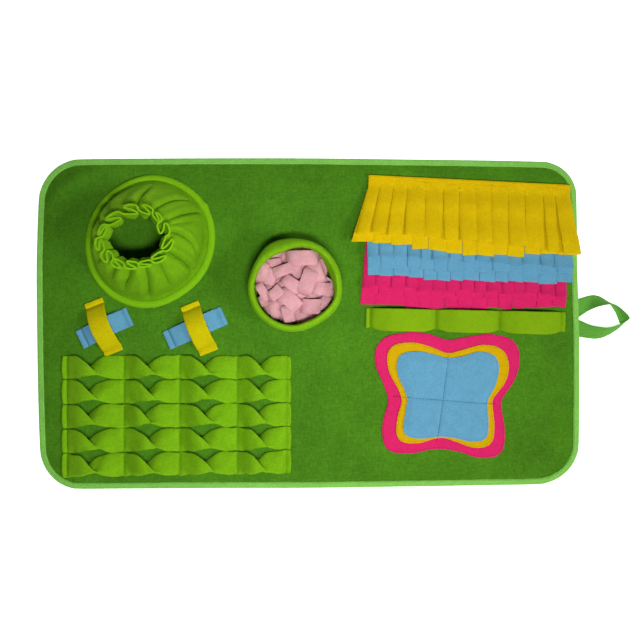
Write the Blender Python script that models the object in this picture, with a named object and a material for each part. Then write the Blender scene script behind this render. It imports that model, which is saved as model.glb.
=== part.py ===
"""Snuffle mat: a flat felt mat with fleece and felt pockets, straps, twists and fringes sewn on top.

Units are metres and +Z is up. The origin lies on the surface that the mat rests on, under the middle
of the whole part, loop included. Each piece that a maker cuts and sews on is one closed solid, and
pieces that touch lie SEAT apart. Places and tables measure from the middle of the mat, and the tables
hold millimetres.
"""

import math
import random

import bmesh
import bpy
from mathutils import Vector

MM = 0.001
SEAT = 0.3 * MM

# The mat and what runs round its edge
MAT_LENGTH = 800 * MM
MAT_WIDTH = 487.8 * MM
MAT_THICKNESS = 3.0 * MM
CORNER_RADII = (51 * MM, 61 * MM, 58 * MM, 62 * MM)     # top right, top left, bottom left, bottom right
LOOP_REACH = 67.4 * MM            # how far the hanging loop stands out past the mat's right edge
TAPE = 0.6 * MM                   # one layer of the binding tape
BINDING_WIDTH = 9 * MM            # what shows of the tape on the mat's face
BINDING_ROUND = 1.0 * MM          # how far the tape's rounded fold reaches in
BINDING_HOLLOW = 1.0 * MM         # where the room for the mat's rim starts, inside the fold
RIM_GRIP = 0.9 * MM               # the mat's rim ends this far short of the binding's fold
RIM_SLOPE = 2.5 * MM              # from the binding's edge to the mat's full thickness
CORNER_STEPS = 6
LONG_STEPS = 11
SHORT_STEPS = 7
EDGE_FADE = 3                     # power by which a side's unevenness fades towards the middle

# How far each side lies inside its straight line, in even steps from left to right or bottom to top
EDGE_INSET = {
    "top": (2.4, 1.0, 0.3, 0.4, 1.9, 3.6, 6.4),
    "bottom": (0.0, 0.4, 1.2, 1.4, 3.2, 5.4, 7.6),
    "left": (8.0, 4.0, 1.8, 0.6, 0.0, 2.2, 6.4),
    "right": (3.0, 0.4, 0.0, 0.4, 3.0, 3.6, 6.0),
}

# Heights of what is sewn on
MAT_TOP = MAT_THICKNESS
SEWN = MAT_TOP + SEAT             # underside of a piece that lies on the mat
FELT = 2.0 * MM
FLEECE = 3.0 * MM

# Pleated collar pocket, upper left
COLLAR_CENTRE = (-231.7 * MM, 120.3 * MM)
COLLAR_MOUTH_SHIFT = (-4.0 * MM, -2.0 * MM)
COLLAR_MOUTH_STRETCH = (1.10, 0.90)
COLLAR_FLANGE_RADIUS = 97 * MM
COLLAR_PLEATS = 13
COLLAR_STEPS_PER_PLEAT = 6
COLLAR_DEEP_SIDE = math.radians(-40)            # bearing at which the pleats are deepest
COLLAR_SHALLOW = 0.3              # share of their depth that they keep on the opposite side
COLLAR_EVEN_FROM = 0.75           # share of the height from which they grow even all round
COLLAR_HEM_EDGE = 0.7             # share of the hem's thickness that its outer edge has
COLLAR_WALL = (
    # outer radius, height over the mat, swing of the pleats in and out
    (88.0, 2.2, 0.0),
    (83.0, 20.0, 1.5),
    (72.0, 42.0, 2.6),
    (54.0, 64.0, 3.2),
    (36.5, 77.0, 2.4),
    (42.0, 86.0, 5.0),
    (44.5, 92.0, 5.5),
)

# Cup pocket, in the middle, and the loose strips that fill it
CUP_CENTRE = (-18.7 * MM, 54.9 * MM)
CUP_STEPS = 44
CUP_WAVES = ((3, 1.3, 0.6), (5, 0.8, 2.1))      # waves round the wall, depth, turn in radians
CUP_PROFILE = (
    # radius, height over the mat: up the outside, over the rolled rim and down the inside
    (61.0, 0.0),
    (64.0, 24.0),
    (65.0, 58.0),
    (64.2, 62.5),
    (61.8, 63.5),
    (60.2, 60.0),
    (59.8, 24.0),
    (57.2, 0.0),
)
FILL_BACKING_RADIUS = 50 * MM
FILL_BACKING_STEPS = 28
FILL_BACKING = 2.4 * MM
FILL_STRIP = (12.0 * MM, 1.6 * MM)              # width and thickness of a loose strip
FILL_ROWS = (
    # radius of the ring of roots, strips in it, height of their bends over the mat
    (9.0, 4, 53.0),
    (24.5, 9, 45.0),
    (40.0, 15, 36.5),
)
FILL_BEND = 5.5 * MM
FILL_BEND_STEPS = 3
FILL_TAIL = 5.0 * MM
FILL_TAIL_OUT = 1.0 * MM          # how far a tail's tip leans out
FILL_TURN = math.radians(9)       # how far a strip faces away from straight outward
FILL_UNEVEN = 1.2 * MM            # how far its bend lies above or below its row's height

# Crossed straps below the collar pocket: a blue one with a yellow one over it, twice
STRAP_WIDTH = 29 * MM
STRAP_END = 8 * MM                # flat end that is sewn down
STRAP_STEPS = 8                   # along an arch
STRAP_FULLNESS = 2.0              # power of the arch: 2 is a parabola, and more is fuller at its sides
STRAPS = (
    # name, felt, start x, y, end x, y, rise of the arch
    ("strap_left_lower", "blue", -335.3, -24.0, -261.8, 11.0, 9.0),
    ("strap_left_upper", "yellow", -315.6, 33.2, -284.6, -43.6, 20.0),
    ("strap_right_lower", "blue", -207.8, -25.3, -122.9, 12.2, 9.0),
    ("strap_right_upper", "yellow", -174.3, 28.6, -144.9, -43.0, 20.0),
)

# Twisted strips, lower left: each is sewn down at five seams and turned over between them
TWIST_ROWS = 5
TWIST_SEAMS = (-353.7, -270.6, -189.2, -104.5, -32.0)
TWIST_END = 6 * MM                # flat end past the outer seams
TWIST_SEAM_HALF = 2.2 * MM        # each strip lies flat this far to both sides of a seam
TWIST_TOP = (-46.0 * MM, -47.2 * MM)            # upper edge of the first row, at its left and right end
TWIST_PITCH = (36.1 * MM, 34.6 * MM)            # from row to row, at the left and right end
TWIST_GAP = 0.7 * MM
TWIST_RISE = 20 * MM
TWIST_BELLY = 12 * MM
TWIST_STEPS = 6                   # along the strip between two seams
TWIST_ACROSS = 3                  # across the strip

# Fringe, upper right: rows of cut felt, each of two or three layers
FRINGE_LEFT = (89.3 * MM, 217.7 * MM)
FRINGE_RIGHT = (385.2 * MM, 203.0 * MM)
FRINGE_HEADER = 16 * MM           # uncut depth at the top of each layer
FRINGE_FELT = 1.6 * MM
FRINGE_LAYER = 2.1 * MM           # from one layer's underside to the next
FRINGE_CUT = 0.8 * MM
FRINGE_CLIMB = 20 * MM            # length over which the strands climb onto the row below
FRINGE_LEAD = 2 * MM              # how far before the next row's header a strand is up
FRINGE_STACK = 3                  # layers in the tallest row, which sets how high a strand climbs
FRINGE_LEANING = (0.4, 0.75)      # strands lean from the left end to here, and from here to the right end
FRINGE_WIDTHS = (0.85, 1.15)      # narrowest and widest strand, as shares of the usual width
FRINGE_ROWS = (
    # felt, header under the first header, strands in a layer, lean of the end strands in degrees,
    # then the lengths at the left, in the middle and at the right of each layer, from the bottom up
    ("yellow", 0.0, 13, (-14, 10), ((97.0, 111.0, 104.0), (88.0, 91.0, 100.0))),
    ("blue", 47.0, 14, (4, 6), ((100.0, 100.0, 98.0), (87.0, 86.5, 85.5), (73.0, 72.0, 75.0))),
    ("pink", 90.0, 15, (-2, 2), ((100.0, 99.0, 91.0), (86.0, 81.0, 82.0), (74.0, 73.5, 73.5))),
)
FRINGE_UNEVEN = 2.0 * MM

# Band with three arches, under the fringe
BAND_START = (85.4 * MM, 6.3 * MM)
BAND_END = (377.9 * MM, 0.3 * MM)
BAND_WIDTH = 33.5 * MM
BAND_SEAMS = (6.0, 102.5, 195.5, 287.0)
BAND_RISE = 17 * MM
BAND_STEPS = 9                    # along an arch
BAND_FULLNESS = 2.4

# Four-lobed layered patch, lower right
PATCH_CENTRE = (202.5 * MM, -109.0 * MM)
PATCH_STEPS = 3                   # points between two rows of the table
PATCH_PUFF = 2.2 * MM             # how far the quilted top felt rises between its seams
PATCH_LOBE_FULLNESS = 0.6         # power that makes the rise of each lobe broad
PATCH_DOME = (
    # share of the outline, share of the puff: from the top felt's edge to its middle
    (0.9, 0.5),
    (0.55, 1.0),
    (0.12, 0.3),
)
PATCH_OUTLINE = (
    # bearing in degrees, then the radius of the pink, the yellow and the blue felt
    (0, 84.0, 70.0, 62.5),
    (20, 113.0, 96.5, 79.5),
    (37, 130.0, 108.8, 93.5),
    (50, 120.0, 101.0, 87.5),
    (68, 97.5, 77.5, 66.0),
    (88, 85.2, 65.8, 58.8),
    (107, 99.0, 78.5, 67.0),
    (125, 115.5, 99.0, 83.0),
    (138, 127.0, 109.4, 91.6),
    (151, 119.5, 98.0, 82.0),
    (167, 94.5, 74.0, 63.5),
    (184, 85.0, 65.0, 57.2),
    (203, 101.0, 77.5, 65.5),
    (221, 114.5, 92.0, 80.0),
    (236, 99.0, 80.5, 71.5),
    (252, 80.8, 63.8, 60.2),
    (268, 75.8, 59.0, 56.8),
    (286, 83.8, 68.6, 62.0),
    (302, 104.5, 86.5, 75.5),
    (315, 114.5, 93.6, 82.4),
    (329, 101.5, 83.0, 72.0),
    (344, 86.8, 72.0, 63.2),
)

# Hanging loop at the right edge: a tape whose two edges run through these places
LOOP_TAPE = 1.2 * MM
LOOP_STEPS = 3                    # points between two rows of the table
LOOP_EDGES = (
    # edge on the surface x, y, z, then the raised edge x, y, z, measured from the mat's right edge
    (-0.7, 36.5, 1.1, -0.1, 11.0, 1.1),
    (17.0, 42.0, 1.1, 13.0, 19.0, 5.5),
    (29.0, 40.5, 1.1, 26.0, 25.5, 17.5),
    (40.0, 33.5, 1.1, 40.0, 28.0, 23.5),
    (48.0, 24.5, 1.1, 49.5, 24.5, 23.8),
    (54.0, 14.5, 1.1, 58.5, 17.5, 22.5),
    (57.8, 4.5, 1.1, 66.8, 9.0, 21.0),
    (60.5, -4.0, 1.1, 62.0, 4.2, 21.0),
    (51.0, -12.0, 1.1, 51.0, -1.5, 20.0),
    (38.0, -19.3, 1.1, 38.0, -5.4, 16.5),
    (26.0, -22.6, 1.1, 26.5, -4.5, 12.5),
    (14.0, -22.0, 1.1, 14.0, -1.5, 7.0),
    (0.3, -19.7, 1.1, 0.1, 3.8, 1.1),
)

FELT_COLOURS = {
    # sRGB colour and roughness of each cloth
    "mat": ("4C821D", 0.95),
    "tape": ("74C048", 0.85),
    "fleece": ("76AE12", 0.97),
    "band": ("8BB815", 0.95),
    "yellow": ("D4B804", 0.95),
    "blue": ("629BBF", 0.95),
    "pink": ("DB2267", 0.95),
    "pale_pink": ("E3A3AE", 0.97),
}


def linear(channel):
    """One 0-255 sRGB channel as a linear value."""
    value = channel / 255
    if value <= 0.04045:
        return value / 12.92
    return ((value + 0.055) / 1.055) ** 2.4


def cloth(kind):
    """The material of one kind of cloth, made once and shared."""
    found = bpy.data.materials.get(kind)
    if found:
        return found
    code, roughness = FELT_COLOURS[kind]
    material = bpy.data.materials.new(kind)
    material.use_nodes = True
    shader = material.node_tree.nodes["Principled BSDF"]
    channels = [linear(int(code[start:start + 2], 16)) for start in (0, 2, 4)]
    shader.inputs["Base Color"].default_value = (*channels, 1.0)
    shader.inputs["Roughness"].default_value = roughness
    shader.inputs["Metallic"].default_value = 0.0
    material.diffuse_color = (*channels, 1.0)
    return material


def add_piece(name, shape, kind):
    """Make an object of the bmesh, with its faces pointing out and its origin under the mat's middle."""
    bmesh.ops.recalc_face_normals(shape, faces=shape.faces)
    mesh = bpy.data.meshes.new(name)
    shape.to_mesh(mesh)
    shape.free()
    mesh.shade_smooth()
    mesh.set_sharp_from_angle(angle=math.radians(35))
    mesh.materials.append(cloth(kind))
    piece = bpy.data.objects.new(name, mesh)
    piece.location.x = -LOOP_REACH / 2
    bpy.context.scene.collection.objects.link(piece)
    return piece


def skin(shape, loops, ring=False):
    """Faces over loops of points in order. Its ends are capped, or with ring the last meets the first."""
    rows = [[shape.verts.new(point) for point in loop] for loop in loops]
    following = rows[1:] + rows[:1] if ring else rows[1:]
    for near, far in zip(rows, following):
        for i, corner in enumerate(near):
            j = (i + 1) % len(near)
            shape.faces.new((corner, near[j], far[j], far[i]))
    if not ring:
        shape.faces.new(rows[0])
        shape.faces.new(rows[-1])


def loft(name, loops, kind, ring=False):
    """A closed solid over loops of points."""
    shape = bmesh.new()
    skin(shape, loops, ring)
    return add_piece(name, shape, kind)


def between(low, high, share):
    """The value a share of the way from low to high."""
    return low + (high - low) * share


def smooth_between(before, start, end, after, share):
    """A value on the smooth curve through four even values, a share of the way from start to end."""
    pull = (end - before) / 2
    push = (after - start) / 2
    rest = end - start
    return start + share * (pull + share * (3 * rest - 2 * pull - push + share * (pull + push - 2 * rest)))


def along_table(values, share):
    """The value a share of the way along evenly spaced values, smoothly."""
    place = min(max(share, 0.0), 1.0) * (len(values) - 1)
    i = min(int(place), len(values) - 2)
    before = values[max(i - 1, 0)]
    after = values[min(i + 2, len(values) - 1)]
    return smooth_between(before, values[i], values[i + 1], after, place - i)


def uneven_edge(x, y):
    """Move a place on the mat with the sides, which aren't quite straight."""
    across = x / MAT_LENGTH + 0.5
    up = y / MAT_WIDTH + 0.5
    pull = {}
    for side, share, reach in (
        ("right", up, x / MAT_LENGTH),
        ("left", up, -x / MAT_LENGTH),
        ("top", across, y / MAT_WIDTH),
        ("bottom", across, -y / MAT_WIDTH),
    ):
        pull[side] = along_table(EDGE_INSET[side], share) * MM * max(0.0, 2 * reach) ** EDGE_FADE
    return x - pull["right"] + pull["left"], y - pull["top"] + pull["bottom"]


def mat_outline(inset, height):
    """The mat's rounded outline, drawn in by inset, as a loop of points at one height."""
    signs = ((1, 1), (-1, 1), (-1, -1), (1, -1))
    arcs = []
    for number, ((sign_x, sign_y), corner_radius) in enumerate(zip(signs, CORNER_RADII)):
        x = sign_x * (MAT_LENGTH / 2 - corner_radius)
        y = sign_y * (MAT_WIDTH / 2 - corner_radius)
        radius = corner_radius - inset
        arc = []
        for step in range(CORNER_STEPS + 1):
            angle = math.radians(90 * (number + step / CORNER_STEPS))
            arc.append((x + radius * math.cos(angle), y + radius * math.sin(angle)))
        arcs.append(arc)
    loop = []
    sides = (LONG_STEPS, SHORT_STEPS, LONG_STEPS, SHORT_STEPS)
    for arc, following, steps in zip(arcs, arcs[1:] + arcs[:1], sides):
        loop += arc
        start, end = arc[-1], following[0]
        for step in range(1, steps):
            share = step / steps
            loop.append((between(start[0], end[0], share), between(start[1], end[1], share)))
    moved = [uneven_edge(x, y) for x, y in loop]
    return [Vector((x, y, height)) for x, y in moved]


def make_mat():
    """The felt mat, pressed thinner at its rim, where the binding grips it."""
    rim_bottom = TAPE + SEAT
    rim_top = MAT_TOP - TAPE - SEAT
    rim = TAPE + RIM_GRIP
    full = BINDING_WIDTH + RIM_SLOPE
    loops = [
        mat_outline(full, 0),
        mat_outline(BINDING_WIDTH + SEAT, rim_bottom),
        mat_outline(rim, rim_bottom),
        mat_outline(rim, rim_top),
        mat_outline(BINDING_WIDTH + SEAT, rim_top),
        mat_outline(full, MAT_TOP),
    ]
    loft("mat_base", loops, "mat")


def make_binding():
    """The tape folded round the mat's rim, as one ring with a U-shaped section."""
    top = MAT_TOP
    middle = top / 2
    profile = (
        (BINDING_WIDTH, 0),
        (BINDING_ROUND, 0),
        (0, middle),
        (BINDING_ROUND, top),
        (BINDING_WIDTH, top),
        (BINDING_WIDTH, top - TAPE),
        (BINDING_HOLLOW, top - TAPE),
        (BINDING_HOLLOW, TAPE),
        (BINDING_WIDTH, TAPE),
    )
    loft("edge_binding", [mat_outline(inset, height) for inset, height in profile], "tape", ring=True)


def make_loop():
    """The tape loop: flat at its two sewn ends, on edge round its tip."""
    right_edge = MAT_LENGTH / 2
    rows = [[value * MM for value in row] for row in LOOP_EDGES]
    places = []
    for i in range(len(rows) - 1):
        before, after = rows[max(i - 1, 0)], rows[min(i + 2, len(rows) - 1)]
        for step in range(LOOP_STEPS):
            share = step / LOOP_STEPS
            near = zip(before, rows[i], rows[i + 1], after)
            places.append([smooth_between(*values, share) for values in near])
    places.append(rows[-1])
    edges = [(Vector(place[:3]), Vector(place[3:])) for place in places]
    middles = [(low + high) / 2 for low, high in edges]
    loops = []
    for i, (low, high) in enumerate(edges):
        forward = middles[min(i + 1, len(edges) - 1)] - middles[max(i - 1, 0)]
        half = forward.cross(high - low).normalized() * LOOP_TAPE / 2
        loop = (low - half, low + half, high + half, high - half)
        loops.append([point + Vector((right_edge, 0, 0)) for point in loop])
    loft("hanging_loop", loops, "tape")


def collar_point(angle, radius, height, swing):
    """A place on the collar's wall, pleated, and drawn towards its shifted, oval mouth."""
    top = COLLAR_WALL[-1][1]
    share = height / top
    deep = between(COLLAR_SHALLOW, 1.0, (1 + math.cos(angle - COLLAR_DEEP_SIDE)) / 2)
    even = max(0.0, share - COLLAR_EVEN_FROM) / (1 - COLLAR_EVEN_FROM)
    radius += swing * between(deep, 1.0, even) * math.cos(COLLAR_PLEATS * angle)
    stretch = [between(1.0, mouth, share) for mouth in COLLAR_MOUTH_STRETCH]
    shift = [mouth * share for mouth in COLLAR_MOUTH_SHIFT]
    x = COLLAR_CENTRE[0] + shift[0] + radius * MM * stretch[0] * math.cos(angle)
    y = COLLAR_CENTRE[1] + shift[1] + radius * MM * stretch[1] * math.sin(angle)
    return Vector((x, y, SEWN + height * MM))


def make_collar():
    """A fleece cone, open at its ruffled mouth, with a flat hem round its foot."""
    flange = COLLAR_FLANGE_RADIUS / MM
    wall = FLEECE / MM
    foot_radius = COLLAR_WALL[0][0] - wall
    hem = COLLAR_WALL[0][1]
    profile = [(foot_radius, 0, 0), (flange, 0, 0), (flange, hem * COLLAR_HEM_EDGE, 0)]
    profile += COLLAR_WALL
    profile += [(radius - wall, height, swing) for radius, height, swing in reversed(COLLAR_WALL[1:])]
    steps = COLLAR_PLEATS * COLLAR_STEPS_PER_PLEAT
    loops = []
    for step in range(steps):
        angle = 2 * math.pi * step / steps
        loops.append([collar_point(angle, *place) for place in profile])
    loft("collar_pocket", loops, "fleece", ring=True)


def make_cup():
    """The cup's fleece wall, with a rolled rim, a little out of round."""
    loops = []
    for step in range(CUP_STEPS):
        angle = 2 * math.pi * step / CUP_STEPS
        wave = sum(depth * math.cos(count * angle + turn) for count, depth, turn in CUP_WAVES)
        loop = []
        for radius, height in CUP_PROFILE:
            reach = (radius + wave) * MM
            x = CUP_CENTRE[0] + reach * math.cos(angle)
            y = CUP_CENTRE[1] + reach * math.sin(angle)
            loop.append(Vector((x, y, SEWN + height * MM)))
        loops.append(loop)
    loft("cup_pocket", loops, "fleece", ring=True)


def fill_strip_path(height):
    """A loose strip's middle line, as steps outward and up: a stem, a bend over and a short tail."""
    path = [(0.0, FILL_BACKING / 2), (0.0, height - FILL_BEND)]
    for step in range(1, FILL_BEND_STEPS + 1):
        angle = math.pi * step / FILL_BEND_STEPS
        out = FILL_BEND * (1 - math.cos(angle))
        path.append((out, height - FILL_BEND + FILL_BEND * math.sin(angle)))
    path.append((2 * FILL_BEND + FILL_TAIL_OUT, height - FILL_BEND - FILL_TAIL))
    return path


def make_cup_fill():
    """Loose fleece strips that stand up from a round backing and bend over under the cup's rim."""
    strips = bmesh.new()
    chance = random.Random(4)
    half_width, half_thick = (size / 2 for size in FILL_STRIP)
    for row, (ring, count, height) in enumerate(FILL_ROWS):
        for number in range(count):
            bearing = 2 * math.pi * (number + 0.5 * row) / count
            facing = bearing + chance.uniform(-1, 1) * FILL_TURN
            outward = Vector((math.cos(facing), math.sin(facing), 0))
            across = Vector((-outward.y, outward.x, 0)) * half_width
            foot = Vector((CUP_CENTRE[0], CUP_CENTRE[1], SEWN))
            foot += Vector((math.cos(bearing), math.sin(bearing), 0)) * ring * MM
            path = fill_strip_path(height * MM + chance.uniform(-1, 1) * FILL_UNEVEN)
            loops = ribbon_loops(path, foot, outward, across, half_thick)
            skin(strips, loops)
    guide = add_piece("cup_fill_guide", strips, "pale_pink")
    guide.hide_render = True
    guide.display_type = "WIRE"

    disc = []
    for height in (0.0, FILL_BACKING):
        loop = []
        for step in range(FILL_BACKING_STEPS):
            angle = 2 * math.pi * step / FILL_BACKING_STEPS
            x = CUP_CENTRE[0] + FILL_BACKING_RADIUS * math.cos(angle)
            y = CUP_CENTRE[1] + FILL_BACKING_RADIUS * math.sin(angle)
            loop.append(Vector((x, y, SEWN + height)))
        disc.append(loop)
    fill = loft("cup_fill", disc, "pale_pink")
    union = fill.modifiers.new("strips", "BOOLEAN")
    union.operation = "UNION"
    union.object = guide


def ribbon_loops(path, foot, along, across, half_thick):
    """Four-cornered sections of a ribbon whose middle line is given as steps along and up."""
    loops = []
    for i, (run, rise) in enumerate(path):
        ahead = path[min(i + 1, len(path) - 1)]
        behind = path[max(i - 1, 0)]
        heading = Vector((ahead[0] - behind[0], ahead[1] - behind[1])).normalized()
        normal = (along * -heading.y + Vector((0, 0, heading.x))) * half_thick
        middle = foot + along * run + Vector((0, 0, rise))
        loops.append([
            middle - across - normal,
            middle + across - normal,
            middle + across + normal,
            middle - across + normal,
        ])
    return loops


def arched_strip(name, kind, start, end, width, seams, rise, fullness, steps):
    """A felt strip that is sewn flat at its seams and arches up between them."""
    run = Vector((end[0] - start[0], end[1] - start[1], 0))
    length = run.length
    along = run.normalized()
    across = Vector((-along.y, along.x, 0)) * width / 2
    path = [(0.0, FELT / 2)]
    for seam, following in zip(seams, seams[1:]):
        for step in range(steps + 1):
            share = step / steps
            height = rise * (1 - abs(2 * share - 1) ** fullness)
            path.append((between(seam, following, share), FELT / 2 + height))
        path.pop()
    path.append((seams[-1], FELT / 2))
    path.append((length, FELT / 2))
    foot = Vector((start[0], start[1], SEWN))
    loft(name, ribbon_loops(path, foot, along, across, FELT / 2), kind)


def make_straps():
    """Two crosses of felt straps, the yellow strap of each arching over the blue one."""
    for name, kind, start_x, start_y, end_x, end_y, rise in STRAPS:
        start = (start_x * MM, start_y * MM)
        end = (end_x * MM, end_y * MM)
        length = math.dist(start, end)
        seams = (STRAP_END, length - STRAP_END)
        arched_strip(name, kind, start, end, STRAP_WIDTH, seams, rise * MM, STRAP_FULLNESS, STRAP_STEPS)


def make_band():
    """The felt band that is sewn down at four seams, with three arches to hide food under."""
    seams = [seam * MM for seam in BAND_SEAMS]
    places = (BAND_START, BAND_END, BAND_WIDTH, seams)
    arched_strip("loop_band", "band", *places, BAND_RISE, BAND_FULLNESS, BAND_STEPS)


def twist_section(x, centre, half_width, turn):
    """One section of a twisted strip: it rolls over, with a belly towards -Y, as turn goes from 0 to pi."""
    lift = math.sin(turn)
    middle = []
    for step in range(TWIST_ACROSS + 1):
        share = 2 * step / TWIST_ACROSS - 1
        y = centre + half_width * share * math.cos(turn) - TWIST_BELLY * lift * (1 - share ** 2)
        z = SEWN + FELT / 2 + SEAT * lift + TWIST_RISE * lift * (1 + share) / 2
        middle.append(Vector((x, y, z)))
    upper, lower = [], []
    for i, point in enumerate(middle):
        heading = middle[min(i + 1, TWIST_ACROSS)] - middle[max(i - 1, 0)]
        normal = Vector((0, -heading.z, heading.y)).normalized() * FELT / 2
        upper.append(point + normal)
        lower.append(point - normal)
    return upper + lower[::-1]


def make_twists():
    """Five felt strips side by side, each turned over once between two seams."""
    seams = [seam * MM for seam in TWIST_SEAMS]
    left, right = seams[0] - TWIST_END, seams[-1] + TWIST_END
    for row in range(TWIST_ROWS):
        def section(x, turn):
            share = (x - left) / (right - left)
            pitch = between(*TWIST_PITCH, share)
            centre = between(*TWIST_TOP, share) - pitch * (row + 0.5)
            return twist_section(x, centre, (pitch - TWIST_GAP) / 2, turn)

        loops = [section(left, 0.0)]
        for cell, (seam, following) in enumerate(zip(seams, seams[1:])):
            start, end = seam + TWIST_SEAM_HALF, following - TWIST_SEAM_HALF
            if cell == 0:
                start = seam
            if cell == len(seams) - 2:
                end = following
            for step in range(TWIST_STEPS + 1):
                share = step / TWIST_STEPS
                loop = section(between(start, end, share), math.pi * share)
                loops.append(loop if cell % 2 == 0 else flipped(loop))
        last = section(right, math.pi)
        loops.append(last if len(seams) % 2 == 0 else flipped(last))
        loft("twist_strip_%d" % (row + 1), loops, "fleece")


def flipped(loop):
    """The same section, named from its other edge, for a cell where the strip lies face down."""
    half = len(loop) // 2
    return loop[half:] + loop[:half]


def fringe_lean(row, share):
    """The sideways slope of a strand a share of the way along its row's header."""
    left, right = FRINGE_ROWS[row][3]
    left_until, right_from = FRINGE_LEANING
    left *= max(0.0, 1 - share / left_until) ** 2
    right *= max(0.0, (share - right_from) / (1 - right_from)) ** 2
    return math.tan(math.radians(left + right))


def fringe_drop(row, length):
    """Steps of a strand from its header to its tip, as distance down and height climbed."""
    start = FRINGE_ROWS[row][1] * MM
    climb = (FRINGE_STACK + 1) * FRINGE_LAYER - FRINGE_FELT
    path = [(FRINGE_HEADER, 0.0)]
    for lower in range(row + 1, len(FRINGE_ROWS)):
        header = FRINGE_ROWS[lower][1] * MM - start
        ready = header - FRINGE_LEAD * (lower - row)
        height = climb * (lower - row)
        path.append((ready - FRINGE_CLIMB, height - climb))
        path.append((ready, height))
    path.append((length, path[-1][1]))
    return path


def make_fringe_layer(name, kind, row, layer, lengths):
    """One layer of fringe: an uncut header with its strands, which lie over the row below."""
    left, right = Vector((*FRINGE_LEFT, 0)), Vector((*FRINGE_RIGHT, 0))
    along = (right - left).normalized()
    down = Vector((along.y, -along.x, 0))
    _, offset, count, _, _ = FRINGE_ROWS[row]
    chance = random.Random(10 * row + layer)
    widths = [chance.uniform(*FRINGE_WIDTHS) for _ in range(count)]
    scale = ((right - left).length - FRINGE_CUT * (count - 1)) / sum(widths)
    base = left + down * offset * MM
    base += Vector((0, 0, SEWN + layer * FRINGE_LAYER))
    marks = [0.0]
    for width in widths:
        marks.append(marks[-1] + width * scale)
        marks.append(marks[-1] + FRINGE_CUT)
    marks.pop()

    shape = bmesh.new()
    up = Vector((0, 0, FRINGE_FELT))
    loops = []
    for mark in marks:
        top = base + along * mark
        edge = top + down * FRINGE_HEADER
        loops.append((top, top + up, edge + up, edge))
    skin(shape, loops)
    shape.faces.ensure_lookup_table()
    sides_per_strand = 2 * len(loops[0])        # four sides of the strand's root, four of the cut beside it
    lower_side = 2                              # of those, the one that faces down the strand
    roots = [shape.faces[sides_per_strand * strand + lower_side] for strand in range(count)]
    for strand, face in enumerate(roots):
        share = (marks[2 * strand] + marks[2 * strand + 1]) / 2 / marks[-1]
        lean = fringe_lean(row, share)
        length = along_table(lengths, share) * MM + chance.uniform(-1, 1) * FRINGE_UNEVEN
        path = fringe_drop(row, length)
        for near, far in zip(path, path[1:]):
            face = bmesh.ops.extrude_discrete_faces(shape, faces=[face])["faces"][0]
            drop = far[0] - near[0]
            move = down * drop + along * lean * drop + Vector((0, 0, far[1] - near[1]))
            bmesh.ops.translate(shape, verts=face.verts, vec=move)
    add_piece(name, shape, kind)


def make_fringes():
    """Every layer of the yellow, blue and pink rows, from the mat up."""
    for row, (kind, _, _, _, layers) in enumerate(FRINGE_ROWS):
        for layer, lengths in enumerate(layers):
            name = "fringe_%s_%d" % (kind, layer + 1)
            make_fringe_layer(name, kind, row, layer, lengths)


def patch_outline(column, shrink, height, quilted=0.0):
    """A felt's outline in the table's column, as a loop at one height, shrunk towards the middle."""
    rows = PATCH_OUTLINE
    count = len(rows)
    loop = []
    for i, row in enumerate(rows):
        following = rows[(i + 1) % count]
        turn = following[0] - row[0] if i < count - 1 else following[0] + 360 - row[0]
        near = (rows[i - 1][column], row[column], following[column], rows[(i + 2) % count][column])
        for step in range(PATCH_STEPS):
            share = step / PATCH_STEPS
            bearing = math.radians(row[0] + turn * share)
            radius = smooth_between(*near, share) * MM * shrink
            x = PATCH_CENTRE[0] + radius * math.cos(bearing)
            y = PATCH_CENTRE[1] + radius * math.sin(bearing)
            puff = quilted * abs(math.sin(2 * bearing)) ** PATCH_LOBE_FULLNESS
            loop.append(Vector((x, y, height + puff)))
    return loop


def make_patch():
    """Three felts of one lobed outline, each smaller than the one below, the top one quilted."""
    for layer, kind in enumerate(("pink", "yellow")):
        low = SEWN + layer * (FELT + SEAT)
        loops = [patch_outline(layer + 1, 1.0, low), patch_outline(layer + 1, 1.0, low + FELT)]
        loft("applique_" + kind, loops, kind)
    low = SEWN + 2 * (FELT + SEAT)
    top = low + FELT
    loops = [patch_outline(3, 1.0, low), patch_outline(3, 1.0, top)]
    for shrink, puff in PATCH_DOME:
        loops.append(patch_outline(3, shrink, top + SEAT, PATCH_PUFF * puff))
    loft("applique_blue", loops, "blue")


def main():
    """Clear the scene and make every piece."""
    for old in list(bpy.data.objects):
        bpy.data.objects.remove(old, do_unlink=True)
    make_mat()
    make_binding()
    make_loop()
    make_collar()
    make_cup()
    make_cup_fill()
    make_straps()
    make_twists()
    make_fringes()
    make_band()
    make_patch()


main()
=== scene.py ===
"""Looks of a snuffle mat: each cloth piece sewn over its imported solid, with its stitches, and a plain stage.

Units are metres and +Z is up. Tables hold millimetres, and their places measure from the middle of the mat.
"""

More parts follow.
